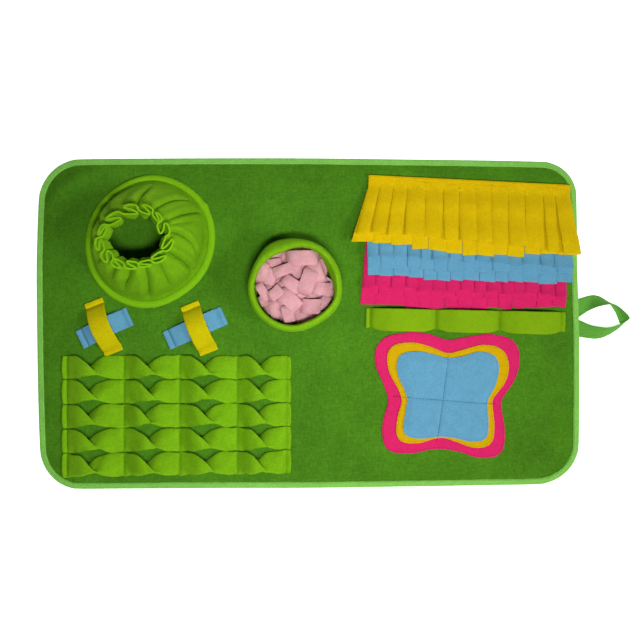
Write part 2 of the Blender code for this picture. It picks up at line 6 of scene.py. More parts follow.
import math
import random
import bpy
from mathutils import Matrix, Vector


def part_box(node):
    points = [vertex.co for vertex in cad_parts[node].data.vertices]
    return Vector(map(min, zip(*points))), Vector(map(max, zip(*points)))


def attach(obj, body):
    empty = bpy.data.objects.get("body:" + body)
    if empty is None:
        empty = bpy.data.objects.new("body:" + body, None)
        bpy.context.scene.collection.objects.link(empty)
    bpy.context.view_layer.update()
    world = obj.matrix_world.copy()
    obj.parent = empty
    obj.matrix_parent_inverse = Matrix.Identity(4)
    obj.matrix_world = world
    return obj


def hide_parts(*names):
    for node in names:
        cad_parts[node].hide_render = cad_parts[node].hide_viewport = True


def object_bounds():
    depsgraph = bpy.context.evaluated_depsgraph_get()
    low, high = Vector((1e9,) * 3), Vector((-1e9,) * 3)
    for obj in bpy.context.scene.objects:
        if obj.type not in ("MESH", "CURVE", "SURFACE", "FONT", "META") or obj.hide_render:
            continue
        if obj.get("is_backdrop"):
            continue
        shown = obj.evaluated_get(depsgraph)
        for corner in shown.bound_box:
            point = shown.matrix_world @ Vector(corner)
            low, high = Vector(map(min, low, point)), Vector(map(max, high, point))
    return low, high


bl_info = {
    "name": "Snuffle mat",
    "version": (1, 0, 0),
    "blender": (4, 5, 0),
    "location": "3D View > Sidebar > Snuffle mat",
    "description": "Sews a felt foraging mat, with its pockets, straps and fringe, over the packed solids",
    "category": "Object",
}

import bpy
from bpy.props import FloatProperty, FloatVectorProperty, IntProperty, PointerProperty
from mathutils import Matrix, Vector, noise

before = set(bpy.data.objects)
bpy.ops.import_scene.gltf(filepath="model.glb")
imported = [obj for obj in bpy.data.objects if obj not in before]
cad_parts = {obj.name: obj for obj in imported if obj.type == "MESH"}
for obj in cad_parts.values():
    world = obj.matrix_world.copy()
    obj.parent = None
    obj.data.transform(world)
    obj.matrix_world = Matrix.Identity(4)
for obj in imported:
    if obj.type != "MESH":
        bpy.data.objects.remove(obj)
CAD_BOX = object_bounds()

MM = 0.001
CURVE_STEPS = 8                   # straight pieces between two points of a smooth curve
MAT_LOW, MAT_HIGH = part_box("mat_base")
MAT_LENGTH = MAT_HIGH.x - MAT_LOW.x
MAT_WIDTH = MAT_HIGH.y - MAT_LOW.y
MIDDLE = (MAT_LOW + MAT_HIGH) / 2
MAT_TOP = MAT_HIGH.z
SEAT = 0.3 * MM                   # between two pieces that lie on each other
SEWN = MAT_TOP + SEAT             # where the pieces that are sewn on start


def middle_of(node):
    """The middle of a CAD node, on the mat's face."""
    low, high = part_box(node)
    return Vector(((low.x + high.x) / 2, (low.y + high.y) / 2, SEWN))


# Mat, binding and hanging loop
MAT_GRID = (150, 92)              # faces along and across
MAT_TUCK = 1.4 * MM               # how far inside the binding's edge the felt ends
MAT_GRIPPED = (8.2 * MM, 12.5 * MM)             # from the rim to where the felt thickens, and is full
MAT_THINNED = 0.40                # share of its thickness that the felt has inside the binding
SWELL_EDGE = (11 * MM, 30 * MM)   # from the rim to where swells may start, and have their full height
SWELLS = (
    # gentle swells where nothing is sewn on: place, half width along X and Y, turn in degrees, height in mm
    (-353.0, 203.0, 52, 12, 38, 6.5),
    (-60.0, 185.0, 60, 32, -20, 1.8),
    (30.0, -60.0, 45, 60, 10, 1.4),
    (350.0, -190.0, 45, 10, 39, 4.2),
    (60.0, -195.0, 90, 22, 0, 1.2),
)
RIM_POINTS = 640
BINDING_TURN = ((6.0, 0.0), (3.0, 0.0), (1.3, 0.0), (0.55, 0.4))     # in from the rim and up, to the fold
BINDING_FOLD = 0.3 * MM           # how far in from the rim the tape is folded
BINDING_SEAM = 1.8 * MM           # the row of stitches, from the tape's inner edge
LOOP_SIZE = (26 * MM, 150 * MM)
LOOP_ROOT = 1.5 * MM              # how far past the mat's felt the loop's edges below measure from
LOOP_EDGES = (
    # the tape's edge on the surface x, y, z, then its raised edge, from the binding's right edge
    (-3.2, 36.2, 1.1, -3.2, 7.4, 1.1),
    (17.0, 42.0, 1.1, 13.0, 19.0, 5.5),
    (29.0, 40.5, 1.1, 26.0, 25.5, 17.5),
    (40.0, 33.5, 1.1, 40.0, 28.0, 23.5),
    (48.0, 24.5, 1.1, 49.5, 24.5, 23.8),
    (54.0, 14.5, 1.1, 58.5, 17.5, 22.5),
    (57.8, 4.5, 1.1, 66.8, 9.0, 21.0),
    (60.5, -4.0, 1.1, 62.0, 4.2, 21.0),
    (51.0, -12.0, 1.1, 51.0, -1.5, 20.0),
    (38.0, -19.3, 1.1, 38.0, -5.4, 16.5),
    (26.0, -22.6, 1.1, 26.5, -4.5, 12.5),
    (14.0, -22.0, 1.1, 14.0, -1.5, 7.0),
    (-2.8, -19.4, 1.1, -2.8, 7.0, 1.1),
)

# Collar pocket
COLLAR_MIDDLE = middle_of("collar_pocket")
COLLAR_CLOTH = (0.125, 0.56)      # its fleece laid flat: up the wall, and round the foot
COLLAR_CLOTH_AREA = 0.062         # the cone's cloth narrows towards the mouth
COLLAR_PLEATS = 13
COLLAR_COLUMNS = 26 * COLLAR_PLEATS
COLLAR_ROWS = 76
COLLAR_SEAM = (90.0, 3.3)         # radius and height of the stitches that hold the hem down
COLLAR_HEM = (88.5, 95.0)         # radii where the hem starts, and where its edge is
COLLAR_FOOT = (3.0, 42.0)         # heights from which the wall frees itself from the hem's shape, and is free
COLLAR_NECK = (70.0, 86.0)        # heights from which it takes on the mouth's shape, and has it
COLLAR_LAP = (1.8, 1.4)           # how far the hem's lapped ends stand out, and up
COLLAR_PUFF = 2.4
COLLAR_PROFILE = (
    # radius, height over the mat: from under the hem's edge, over the hem and up the wall to the ruffle
    (96.0, 1.0), (96.8, 2.4), (95.6, 4.2), (93.2, 4.8), (91.2, 3.7), (90.0, 1.8), (88.6, 3.5),
    (85.2, 11.0), (82.0, 20.0), (77.5, 30.0), (71.5, 41.0), (63.5, 53.0), (53.0, 63.5),
    (43.0, 70.5), (36.5, 75.5), (35.2, 79.0), (37.5, 82.5), (40.0, 86.0), (41.6, 89.0), (42.4, 91.5),
)
COLLAR_HEM_SWAY = 3.5             # how much wider the hem is on its wide side, in mm
COLLAR_WIDE_SIDE = math.radians(-45)
COLLAR_SLACK = (math.radians(168), math.radians(55), 6.0)       # where the wall sags: bearing, half, depth
COLLAR_MOUTH = (-4.0, -2.0, 1.10, 0.90)         # shift and stretch of the mouth along X and Y
COLLAR_MOUTH_RADIUS = 39.0        # a fold of this radius follows the profile
COLLAR_FOLDS = (
    # bearing of each fold of the ruffle in degrees, and its radius in mm
    (26.3, 35.5), (49.2, 40.0), (74.9, 41.0), (100.7, 36.5), (142.3, 33.0), (173.7, 37.5), (204.0, 41.0),
    (228.3, 40.5), (249.2, 41.5), (273.2, 39.5), (295.5, 41.5), (321.6, 41.5), (352.8, 40.5),
)
COLLAR_CREASES = (
    # bearing in degrees and height in mm where the crease starts and ends, its depth and half width in mm
    (92.0, 74, 86.0, 26, 3.4, 4.2), (111.0, 74, 108.0, 36, 2.2, 6.0), (66.0, 74, 46.0, 18, 3.0, 4.0),
    (35.0, 76, 30.5, 6, 3.6, 4.0), (24.0, 72, 21.5, 32, 1.8, 3.6), (14.0, 74, 346.0, 34, 3.6, 4.0),
    (333.0, 75, 325.0, 20, 4.0, 4.2), (306.0, 75, 295.5, 28, 3.0, 5.0), (284.0, 75, 270.0, 14, 4.2, 4.6),
    (261.0, 75, 247.5, 32, 4.4, 5.0), (238.0, 75, 231.0, 36, 3.6, 4.2), (212.0, 75, 205.0, 28, 3.6, 5.0),
    (184.0, 75, 180.0, 22, 2.8, 5.5), (157.0, 75, 152.0, 26, 2.6, 5.5), (130.0, 75, 133.0, 34, 2.2, 5.0),
)
RUFFLE_FROM = 60.0                # height over the mat where the wall starts to fold, in mm
RUFFLE_FULL = 88.0                # and where its folds are deepest
RUFFLE_BULGE = 0.22               # how far a fold's neck is narrower than its loop, in pleats
RUFFLE_ROUND = 0.04               # how much wider the loops towards the hole are than those outside
RUFFLE_LEAN = 0.35                # how far a fold leans round the mouth, in pleats
COLLAR_EDGE = (                   # the hem's radius, every 30 degrees
    94.0, 97.5, 97.5, 97.0, 93.0, 92.5, 93.5, 97.0, 98.5, 96.5, 91.5, 92.0,
)
COLLAR_JOIN = math.radians(33)    # where the hem's two ends lap

# Cup pocket and its loose strips
CUP_MIDDLE = middle_of("cup_pocket")
CUP_CLOTH = (0.125, 0.39)         # its fleece laid flat: over the wall and down inside, and round
CUP_FLEECE = 2.2 * MM
CUP_GRID = (150, 55)              # faces round it and down it
CUP_PROFILE = (
    # radius, height over the mat: up the outer wall, over the rolled rim and down the turned-in hem
    (61.4, 1.2), (62.8, 12.0), (64.0, 26.0), (64.9, 39.0), (65.2, 48.0), (64.5, 55.0), (63.0, 60.0),
    (61.0, 62.9), (59.0, 63.0), (57.7, 61.0), (57.3, 57.0), (57.6, 52.0), (58.4, 48.0), (59.6, 44.0),
)
CUP_LINING = ((60.0, 30.0), (59.0, 14.0), (58.0, 1.2))       # from there down to the mat
CUP_WAVES = ((3, 1.3, 0.6), (5, 0.8, 2.1))      # waves round the wall, depth in mm, turn in radians
CUP_SAG = (math.radians(114), math.radians(30), 7.5)       # bearing, half width and depth of the slack hem
CUP_LINING_SAG = (math.radians(22), math.radians(34), 6.5)       # where the lining comes loose inside
CUP_SEAM = (0.36, 1.15 * MM)      # share of the way where the rim is stitched, and how far stitches stand out
FILL_CLOTH = (0.28, 0.36)         # the fleece that the strips and their backing are cut from
FILL_FLEECE = 1.7 * MM
FILL_SHOWN = (
    # place from the cup's middle, heading in degrees, length, width, height over the mat, share cut off
    (11.0, 38.0, 4, 46, 21, 49, 0.0), (31.0, 17.0, 112, 34, 19, 47, 0.0),
    (18.5, 4.5, 70, 38, 20, 54, 0.0), (37.5, -6.0, -6, 30, 18, 48, 0.25),
    (-4.5, 1.5, -36, 30, 16, 52, 0.0), (-7.5, -20.5, -48, 38, 21, 50, 0.0),
    (-27.0, -11.5, 42, 24, 15, 49, 0.3), (-34.0, 11.5, 62, 26, 15, 45, 0.0),
    (-46.0, 19.0, 72, 30, 13, 45, 0.0), (-45.0, -9.5, -58, 28, 13, 44, 0.0),
    (-16.5, 20.5, 22, 34, 15, 49, 0.0), (24.0, -30.5, -4, 30, 21, 48, 0.35),
    (-9.0, -41.0, -78, 28, 15, 45, 0.3), (-29.0, -34.5, -80, 28, 14, 39, 0.0),
    (41.0, -25.0, 52, 26, 14, 40, 0.0), (-31.0, 31.0, 12, 26, 13, 38, 0.0), (3.0, 21.0, 98, 24, 13, 43, 0.0),
)
FILL_HIDDEN = 46                  # strips that lie lower and show only between the others
FILL_HIDDEN_FROM = 40             # number of the first of them, and each number wavers its own way
FILL_HIDDEN_SIZE = (26, 15)       # length and width
FILL_HIDDEN_REACH = 53.0          # how far from the cup's middle the furthest of them lies
FILL_HIDDEN_TOP = (38, 30)        # their height, in the middle and furthest out
FILL_TURN = 0.618                 # share of a turn from one of them to the next, so that they spread evenly
FILL_LEG = 16.0                   # how far a strip's ends go down between the others
FILL_LIMIT = 56.0                 # nothing reaches further out, where the cup's lining is
FILL_ROWS = 22
FILL_BACKING = (50.0, 1.2, 2.0)   # radius, height and thickness of the round backing

# Crossed straps, and what they share with the band
STRAP_WIDTH = 29 * MM
STRAP_END = 8.0                   # from a strap's end to its seam
STRAP_FULLNESS = 2.0              # 2 makes an even arch, and more a fuller one
ARCH_STEP = 3.0                   # from one row of faces to the next, away from the seams
ARCH_STRETCH = 2.6                # an arched strip is longer than its run by this times rise squared over run
THREAD_LIFT = 0.1                 # how far stitches stand over the cloth that they hold
STRAPS = (
    # CAD node, felt, start x, y, end x, y, rise of the arch
    ("strap_left_lower", "blue", -335.3, -24.0, -261.8, 11.0, 9.0),
    ("strap_left_upper", "lemon", -315.6, 33.2, -284.6, -43.6, 20.0),
    ("strap_right_lower", "blue", -207.8, -25.3, -122.9, 12.2, 9.0),
    ("strap_right_upper", "lemon", -174.3, 28.6, -144.9, -43.0, 20.0),
)

# Twisted strips
TWIST_ROWS = 5
TWIST_CLOTH = 35 * MM             # width of a strip laid flat
TWIST_STRETCH = 1.06              # how much longer a strip is than its run, because it goes up and down
TWIST_STEP = 4.2                  # from one row of faces to the next, away from the seams
TWIST_SEAMS = (-353.7, -270.6, -189.2, -104.5, -32.0)
TWIST_END = 6.0                   # from the outer seams to the strips' ends
TWIST_LEFT = TWIST_SEAMS[0] - TWIST_END
TWIST_RIGHT = TWIST_SEAMS[-1] + TWIST_END
TWIST_SEAM_HALF = 2.2             # half the width that lies flat under a seam
TWIST_TOP = (-46.0, -47.2)        # upper edge of the first strip, at the left and at the right
TWIST_PITCH = (36.1, 34.6)        # from one strip to the next, at the left and at the right
TWIST_GAP = 0.7
TWIST_RISE = 20.0                 # height of the front edge where a strip stands on edge
TWIST_BACK = 2.5                  # that of its back edge
TWIST_ROUND = 8.0                 # and how much higher its middle bulges than a line between the edges
TWIST_BELLY = 15.5                # how far the middle hangs out towards -Y there
TWIST_UP = 5.0                    # and how far the whole strip moves towards +Y
SEAM_PUFF = (2.8, 2.8, 11.0)      # how far cloth swells beside a seam, from where, and how far it reaches
SEAM_STEPS = (0.0, 0.7, 1.5, 2.4, 3.6, 5.2, 7.4, 10.5, 14.0)       # rows of faces beside a seam, in mm

# Fringe
FRINGE_LEFT = (89.3, 217.7)       # the ends of the uppermost header
FRINGE_RIGHT = (385.2, 203.0)
FRINGE_HEADER = (0.0, 1.2, 2.6, 4.4, 5.0, 5.5, 6.2, 9.0, 12.5, 16.0)      # rows down the uncut header
FRINGE_HEM = 5.0                  # depth of the folded hem at the top of the uppermost layer
FRINGE_HEM_RISE = 2.8             # how much higher the hem lies than the felt below it
FRINGE_FELT = 1.5 * MM
FRINGE_LAYER = 2.1                # from the underside of one layer to that of the next
FRINGE_STACK = 3                  # layers that a row climbs over
FRINGE_CLIMB = 36.0               # the length over which a strand climbs onto the row below
FRINGE_LEAD = 2.0                 # how far before that row's header it is up
FRINGE_CROWN = 1.7                # how much higher a bare strand's middle lies than its edges
FRINGE_STAGGER = 0.45             # how much higher every other covered strand lies
FRINGE_LEANING = (0.4, 0.75)      # shares of the header: strands lean up to the first, and from the second
FRINGE_STRAND_ROWS = 18
FRINGE_SHOWN = {"sway": 1.5, "tilt": (0.8, 3.2), "curl": (2.4, 6.0), "cut": 0.12, "own_lean": 0.4}
FRINGE_COVERED = {"sway": 0.6, "tilt": (0.0, 0.9), "curl": (0.6, 1.6), "cut": 0.02, "own_lean": 0.0}
FRINGE_GAPS = (0.1, 0.2, 0.5, 0.8, 1.1)         # how far a shown strand's sides draw in at its tip
FRINGE_ROWS = (
    # felt, header under the first header, strands in a layer, lean of the end strands in degrees,
    # then the lengths at the left, in the middle and at the right of each layer, from the bottom up
    ("yellow", 0.0, 13, (-14, 10), ((97, 111, 104), (88, 91, 100))),
    ("blue", 47.0, 14, (4, 6), ((100, 100, 98), (87, 86.5, 85.5), (73, 72, 75))),
    ("pink", 90.0, 15, (-2, 2), ((100, 99, 91), (86, 81, 82), (74, 73.5, 73.5))),
)
# where the cuts of the yellow row's upper layer lie along its header
YELLOW_CUTS = (0.058, 0.125, 0.195, 0.286, 0.373, 0.452, 0.535, 0.611, 0.693, 0.775, 0.866, 0.925)

# Band with three arches
BAND_START = (85.4, 6.3)
BAND_END = (377.9, 0.3)
BAND_WIDTH = 33.5 * MM
BAND_SEAMS = (6.0, 102.5, 195.5, 287.0)
BAND_RISE = 17.0
BAND_FULLNESS = 2.5
BAND_PINCH = 0.13                 # share of its width that the band loses at a seam

# Patch of three felts
PATCH_LAYERS = (
    # node's and piece's name, felt, what it lies on, faces round it and inwards
    ("pink", "pink", "felt_mat", 168, 30),
    ("yellow", "amber", "pink_patch", 168, 30),
    ("blue", "blue", "yellow_patch", 264, 60),
)
PATCH_SEAMS = (                   # the quilting's two seams, each from end to end
    ((206.0, -46.0), (189.0, -174.0)),
    ((125.0, -106.5), (276.0, -118.0)),
)
PATCH_SEAM_STEPS = 80
PATCH_SEAM_WIDTH = 1.6 * MM
PATCH_PUFF_REACH = 2.2            # how soon the top felt rises beside a seam, in mm
PATCH_STITCH_INSET = 2.2 * MM     # from a layer's edge to its stitches

THREAD_SHADES = {"even": 0.82, "dark": 0.38}     # a thread's colour beside its cloth's: a little darker on most seams, partly the thread's own tone and partly painted shade along the seam, and much darker on the quilting, as painted shade in its grooves

# Stage. The photo's camera looks straight down
FLOOR_SIZE = 12
FLOOR_DROP = 0.4 * MM             # how far under the mat the floor lies
FLOOR_GLOW = 0.80                 # lifts the floor to the photo's white ground
ROOM_LIGHT = 0.06
CAMERA_PLACE = (-0.0160, 0.0052, 1.15)
PHOTO_PIXEL = 1.476 * MM          # what one pixel of the photo covers on the surface
PHOTO_SIZE = 640
SENSOR = 36.0


# ---------------------------------------------------------------- curves and cloth

def linear_colour(code):
    """A hex sRGB colour as linear red, green and blue."""
    channels = []
    for start in (0, 2, 4):
        value = int(code[start:start + 2], 16) / 255
        channels.append(value / 12.92 if value <= 0.04045 else ((value + 0.055) / 1.055) ** 2.4)
    return tuple(channels)


def between(low, high, share):
    """The value a share of the way from low to high."""
    return low + (high - low) * share


def ease(low, high, value):
    """How far value lies between low and high, from 0 to 1, with soft ends."""
    share = min(max((value - low) / (high - low), 0.0), 1.0)
    return share * share * (3 - 2 * share)


def bump(distance, width):
    """A soft bump: 1 at no distance, and near 0 past the width."""
    return math.exp(-(distance / width) ** 2)


def turned_from(bearing, angle, turn=2 * math.pi):
    """How far an angle lies from a bearing, from minus to plus half a turn."""
    return (angle - bearing + turn / 2) % turn - turn / 2


def smooth_between(before, start, end, after, share):
    """A value on the smooth curve through four even ones, a share of the way from start to end."""
    pull = (end - before) / 2
    push = (after - start) / 2
    rest = end - start
    return start + share * (pull + share * (3 * rest - 2 * pull - push + share * (pull + push - 2 * rest)))


def along_table(values, share, closed=False):
    """The value a share of the way along evenly spaced values, smoothly."""
    number = len(values)
    spans = number if closed else number - 1
    place = (share % 1.0 if closed else min(max(share, 0.0), 1.0)) * spans
    i = min(int(place), spans - 1)
    if closed:
        near = [values[(i + step) % number] for step in (-1, 0, 1, 2)]
    else:
        near = [values[min(max(i + step, 0), number - 1)] for step in (-1, 0, 1, 2)]
    return smooth_between(*near, place - i)


def even_points(points, count, closed=False):
    """Points evenly spaced along the smooth curve through the given ones."""
    spans = len(points) if closed else len(points) - 1
    steps = CURVE_STEPS * spans
    dense = [along_table(points, step / steps, closed) for step in range(steps)]
    dense.append(points[0] if closed else points[-1])
    run = [0.0]
    for near, far in zip(dense, dense[1:]):
        run.append(run[-1] + (far - near).length)
    found = []
    i = 0
    for number in range(count):
        goal = run[-1] * number / (count if closed else count - 1)
        while run[i + 1] < goal and i < len(run) - 2:
            i += 1
        found.append(dense[i].lerp(dense[i + 1], (goal - run[i]) / max(run[i + 1] - run[i], 1e-9)))
    return found


def length_of(points, closed=False):
    """The length of the line through the points."""
    following = points[1:] + points[:1] if closed else points[1:]
    return sum((far - near).length for near, far in zip(points, following))


def enclosed_area(points):
    """The area inside a closed outline, seen from above."""
    return abs(sum(a.x * b.y - b.x * a.y for a, b in zip(points, points[1:] + points[:1]))) / 2


def drawn_in(points, distance):
    """A closed level outline, in order round its middle, drawn in by a distance."""
    found = []
    for i, point in enumerate(points):
        along = points[(i + 1) % len(points)] - points[i - 1]
        inward = Vector((-along.y, along.x, 0)).normalized()
        found.append(point + inward * distance)
    return found


def node_outline(node, height):
    """The points that a CAD node has at a height, in order round its middle."""
    low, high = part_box(node)
    centre = (low + high) / 2
    found = {}
    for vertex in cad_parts[node].data.vertices:
        if abs(vertex.co.z - height) < 0.05 * MM:
            bearing = math.atan2(vertex.co.y - centre.y, vertex.co.x - centre.x)
            found[round(bearing, 4)] = vertex.co.copy()
    return [found[bearing] for bearing in sorted(found)]


def on_mat(x, y, height=0.0):
    """A place measured from the mat's middle, in mm, at a height over the mat's face."""
    return Vector((MIDDLE.x + x * MM, MIDDLE.y + y * MM, SEWN + height * MM))


def place_round(centre, radius, angle, height):
    """A place round a centre, its radius and height in mm."""
    return centre + Vector((radius * math.cos(angle), radius * math.sin(angle), height)) * MM


def wander_round(angle, speed, other):
    """Smooth noise from about -1 to 1 that closes after a turn. speed is how fast it changes."""
    return noise.noise(Vector((speed * math.cos(angle), speed * math.sin(angle), other)))


def cloth_grid(name, across, along, place, size):
    """Add a grid of faces and lay its vertices at place(u, v). Its UV map holds its flat size."""
    bpy.ops.object.select_all(action="DESELECT")
    bpy.ops.mesh.primitive_grid_add(x_subdivisions=across, y_subdivisions=along, size=1)
    piece = bpy.context.object
    piece.name = name
    piece.data.name = name
    for vertex in piece.data.vertices:
        vertex.co = place(vertex.co.x + 0.5, vertex.co.y + 0.5)
    for corner in piece.data.uv_layers.active.data:
        corner.uv = (corner.uv.x * size[0], corner.uv.y * size[1])
    return piece


def choose(piece):
    """Make a piece the only one selected, and the active one."""
    bpy.ops.object.select_all(action="DESELECT")
    piece.select_set(True)
    bpy.context.view_layer.objects.active = piece


def close_seams(piece):
    """Join the vertices that lie on each other where a grid's edges meet."""
    choose(piece)
    bpy.ops.object.mode_set(mode="EDIT")
    bpy.ops.mesh.select_all(action="SELECT")
    bpy.ops.mesh.remove_doubles(threshold=0.01 * MM)
    bpy.ops.object.mode_set(mode="OBJECT")


def join(name, parts):
    """Join pieces into one, with the first one's place in the list."""
    bpy.ops.object.select_all(action="DESELECT")
    for part in parts:
        part.select_set(True)
    bpy.context.view_layer.objects.active = parts[0]
    bpy.ops.object.join()
    parts[0].name = name
    parts[0].data.name = name
    return parts[0]


def thicken(piece, thickness, rounds=0, edge=0.0, thin_group=None, thin=1.0):
    """Give a sheet its thickness to both sides, then soften its cut edges or the whole of it."""
    choose(piece)
    solid = piece.modifiers.new("thickness", "SOLIDIFY")
    solid.thickness = thickness
    solid.offset = 0
    if thin_group:
        solid.vertex_group = thin_group
        solid.thickness_vertex_group = thin
    if edge:
        solid.edge_crease_rim = 0.5
        soft = piece.modifiers.new("cut_edge", "BEVEL")
        soft.width = edge
        soft.segments = 2
        soft.limit_method = "ANGLE"
        soft.angle_limit = math.radians(50)
    if rounds:
        even = piece.modifiers.new("soft", "SUBSURF")
        even.levels = rounds
        even.render_levels = rounds
    for modifier in list(piece.modifiers):
        bpy.ops.object.modifier_apply(modifier=modifier.name)
    bpy.ops.object.shade_smooth()


def keep_above_mat(piece):
    """Bring what lies lower than the mat's face up to it."""
    for vertex in piece.data.vertices:
        vertex.co.z = max(vertex.co.z, SEWN)


def finish_piece(piece, material, node, slot, flat, area=None):
    """Dress a sheet, hang it on the root, and hide the CAD node that it takes the place of."""
    piece.data.materials.clear()
    piece.data.materials.append(material)
    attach(piece, "root")
    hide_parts(node)


def sew(name, paths, colour, closed=False, width=None, shade="even"):
    """Rows of stitches along paths, each stitch a short thread that bulges out of the cloth."""
    sizes = bpy.context.scene.mat_sizes
    pitch = sizes.stitch
    width = width or sizes.thread
    bpy.ops.object.select_all(action="DESELECT")
    bpy.ops.mesh.primitive_uv_sphere_add(segments=6, ring_count=4, radius=0.5)
    template = bpy.context.object
    shape = [vertex.co.copy() for vertex in template.data.vertices]
    faces = [tuple(face.vertices) for face in template.data.polygons]
    places, joined = [], []
    for path in paths:
        count = max(2, round(length_of(path, closed) / pitch))
        points = even_points(path, count + (0 if closed else 1), closed)
        following = points[1:] + points[:1] if closed else points[1:]
        for near, far in zip(points, following):
            along = far - near
            turn = along.to_track_quat("X", "Z").to_matrix()
            size = Matrix.Diagonal((0.8 * along.length, width, width))
            middle = (near + far) / 2
            first = len(places)
            places.extend(middle + turn @ (size @ corner) for corner in shape)
            joined.extend(tuple(first + i for i in face) for face in faces)
    bpy.data.objects.remove(template)
    mesh = bpy.data.meshes.new(name)
    mesh.from_pydata(places, [], joined)
    mesh.shade_smooth()
    mesh.materials.append(thread_material("thread_" + colour + "_" + shade, colour, THREAD_SHADES[shade]))
    stitches = bpy.data.objects.new(name, mesh)
    bpy.context.scene.collection.objects.link(stitches)
    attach(stitches, "root")


# ---------------------------------------------------------------- materials

def add_node(tree, kind, inputs=(), **settings):
    """Add a node with its settings. An input takes a value, or the output that feeds it."""
    made = tree.nodes.new(kind)
    for name, value in settings.items():
        setattr(made, name, value)
    for socket, value in dict(inputs).items():
        if isinstance(value, bpy.types.NodeSocket):
            tree.links.new(value, made.inputs[socket])
        else:
            made.inputs[socket].default_value = value
    return made


def new_material(name, roughness, sheen, sheen_colour):
    """An empty material with a Principled shader set for cloth, and its tree and shader."""
    material = bpy.data.materials.new(name)
    material.use_nodes = True
    tree = material.node_tree
    shader = tree.nodes["Principled BSDF"]
    shader.inputs["Roughness"].default_value = roughness
    shader.inputs["IOR"].default_value = 1.46
    shader.inputs["Specular IOR Level"].default_value = 0.15
    shader.inputs["Sheen Weight"].default_value = sheen
    shader.inputs["Sheen Roughness"].default_value = 0.55
    shader.inputs["Sheen Tint"].default_value = (*sheen_colour, 1.0)
    return material, tree, shader


def shaded(colour, factor):
    """A colour made lighter or darker, as RGBA."""
    return (*(min(1.0, channel * factor) for channel in colour), 1.0)


def mottled(tree, place, colour, marks):
    """A colour that wanders. marks give the size in metres, the stretch along Y, and the swing of each."""
    output = None
    bright = math.prod(1 + swing for _, _, swing in marks)
    for size, stretch, swing in marks:
        spread = add_node(tree, "ShaderNodeMapping", {"Vector": place, "Scale": (1.0, stretch, 1.0)})
        grain = add_node(
            tree, "ShaderNodeTexNoise",
            {"Vector": spread.outputs[0], "Scale": 1 / size, "Detail": 2.0, "Roughness": 0.55},
        )
        pale = shaded(colour, bright) if output is None else (1.0, 1.0, 1.0, 1.0)
        ramp = add_node(tree, "ShaderNodeValToRGB", {"Fac": grain.outputs["Fac"]})
        ramp.color_ramp.elements[0].position = 0.28
        ramp.color_ramp.elements[1].position = 0.72
        ramp.color_ramp.elements[0].color = shaded(pale[:3], (1 - swing) / (1 + swing))
        ramp.color_ramp.elements[1].color = pale
        if output is None:
            output = ramp.outputs[0]
        else:
            mixed = add_node(
                tree, "ShaderNodeMix", {0: 1.0, 6: output, 7: ramp.outputs[0]},
                data_type="RGBA", blend_type="MULTIPLY",
            )
            output = mixed.outputs[2]
    return output


def raise_fibres(tree, shader, place, size, height, detail=4.0, roughness=0.6, distortion=0.0):
    """Low relief of fibres or tufts of a size and height in metres."""
    fibres = add_node(
        tree, "ShaderNodeTexNoise",
        {
            "Vector": place, "Scale": 1 / size, "Detail": detail,
            "Roughness": roughness, "Distortion": distortion,
        },
    )
    raised = add_node(
        tree, "ShaderNodeBump", {"Height": fibres.outputs["Fac"], "Distance": height, "Strength": 0.25},
    )
    tree.links.new(raised.outputs[0], shader.inputs["Normal"])


def felt_material(name, colour):
    """Pressed acrylic felt: matt, with short fibres that lie every way, so its colour is faintly flecked."""
    found = bpy.data.materials.get(name)
    if found:
        return found
    material, tree, shader = new_material(name, 0.95, 0.18, colour)
    place = add_node(tree, "ShaderNodeTexCoord").outputs["Object"]
    fibre = 0.0011
    flecks = mottled(tree, place, colour, ((0.014, 1.0, 0.048), (2 * fibre, 1.0, 0.096)))
    tree.links.new(flecks, shader.inputs["Base Color"])
    raise_fibres(tree, shader, place, fibre, 0.0004, detail=3.0)
    return material


def fleece_material(name, colour, swing=0.08, edge=None, hem=0.0):
    """Brushed polyester fleece: a short soft pile that catches light at its edges and clumps a little.

    Past edge, a height on the flat cloth in metres, the cut edge that faces up is painted paler, a painted
    highlight. Up to hem the flat hem is painted paler too, as painted light. Between them the wall is painted
    darker, as painted shade on its slopes.
    """
    found = bpy.data.materials.get(name)
    if found:
        return found
    material, tree, shader = new_material(name, 0.97, 0.30, shaded(colour, 1.4)[:3])
    place = add_node(tree, "ShaderNodeTexCoord").outputs["Object"]
    # painted shade: the wall's colour is made darker to stand in for the shade on its slopes
    wall_shade_colour = shaded(colour, 0.88)[:3] if edge else colour
    soft = mottled(tree, place, wall_shade_colour, ((0.02, 1.0, swing), (0.0032, 1.0, swing * 1.4)))
    if edge:
        flat = add_node(tree, "ShaderNodeUVMap")
        parts = add_node(tree, "ShaderNodeSeparateXYZ", {"Vector": flat.outputs[0]})
        up = parts.outputs["Y"]
        # mask of the cut edge at the top of the ruffle, which is painted paler as a painted highlight
        cut = add_node(
            tree, "ShaderNodeMapRange", {"Value": up, "From Min": edge, "From Max": edge + 0.0008},
        )
        # mask of the hem, which is painted paler as painted light
        wall = add_node(
            tree, "ShaderNodeMapRange", {"Value": up, "From Min": hem, "From Max": hem + 0.002},
        )
        hem_light_mix = add_node(
            tree, "ShaderNodeMix", {0: wall.outputs[0], 6: shaded(colour, 1.12), 7: soft}, data_type="RGBA",
        )
        edge_highlight_mix = add_node(
            tree, "ShaderNodeMix", {0: cut.outputs[0], 6: hem_light_mix.outputs[2], 7: shaded(colour, 1.2)},
            data_type="RGBA",
        )
        soft = edge_highlight_mix.outputs[2]
    tree.links.new(soft, shader.inputs["Base Color"])
    raise_fibres(tree, shader, place, 0.0022, 0.0006, roughness=0.65, distortion=0.6)
    return material


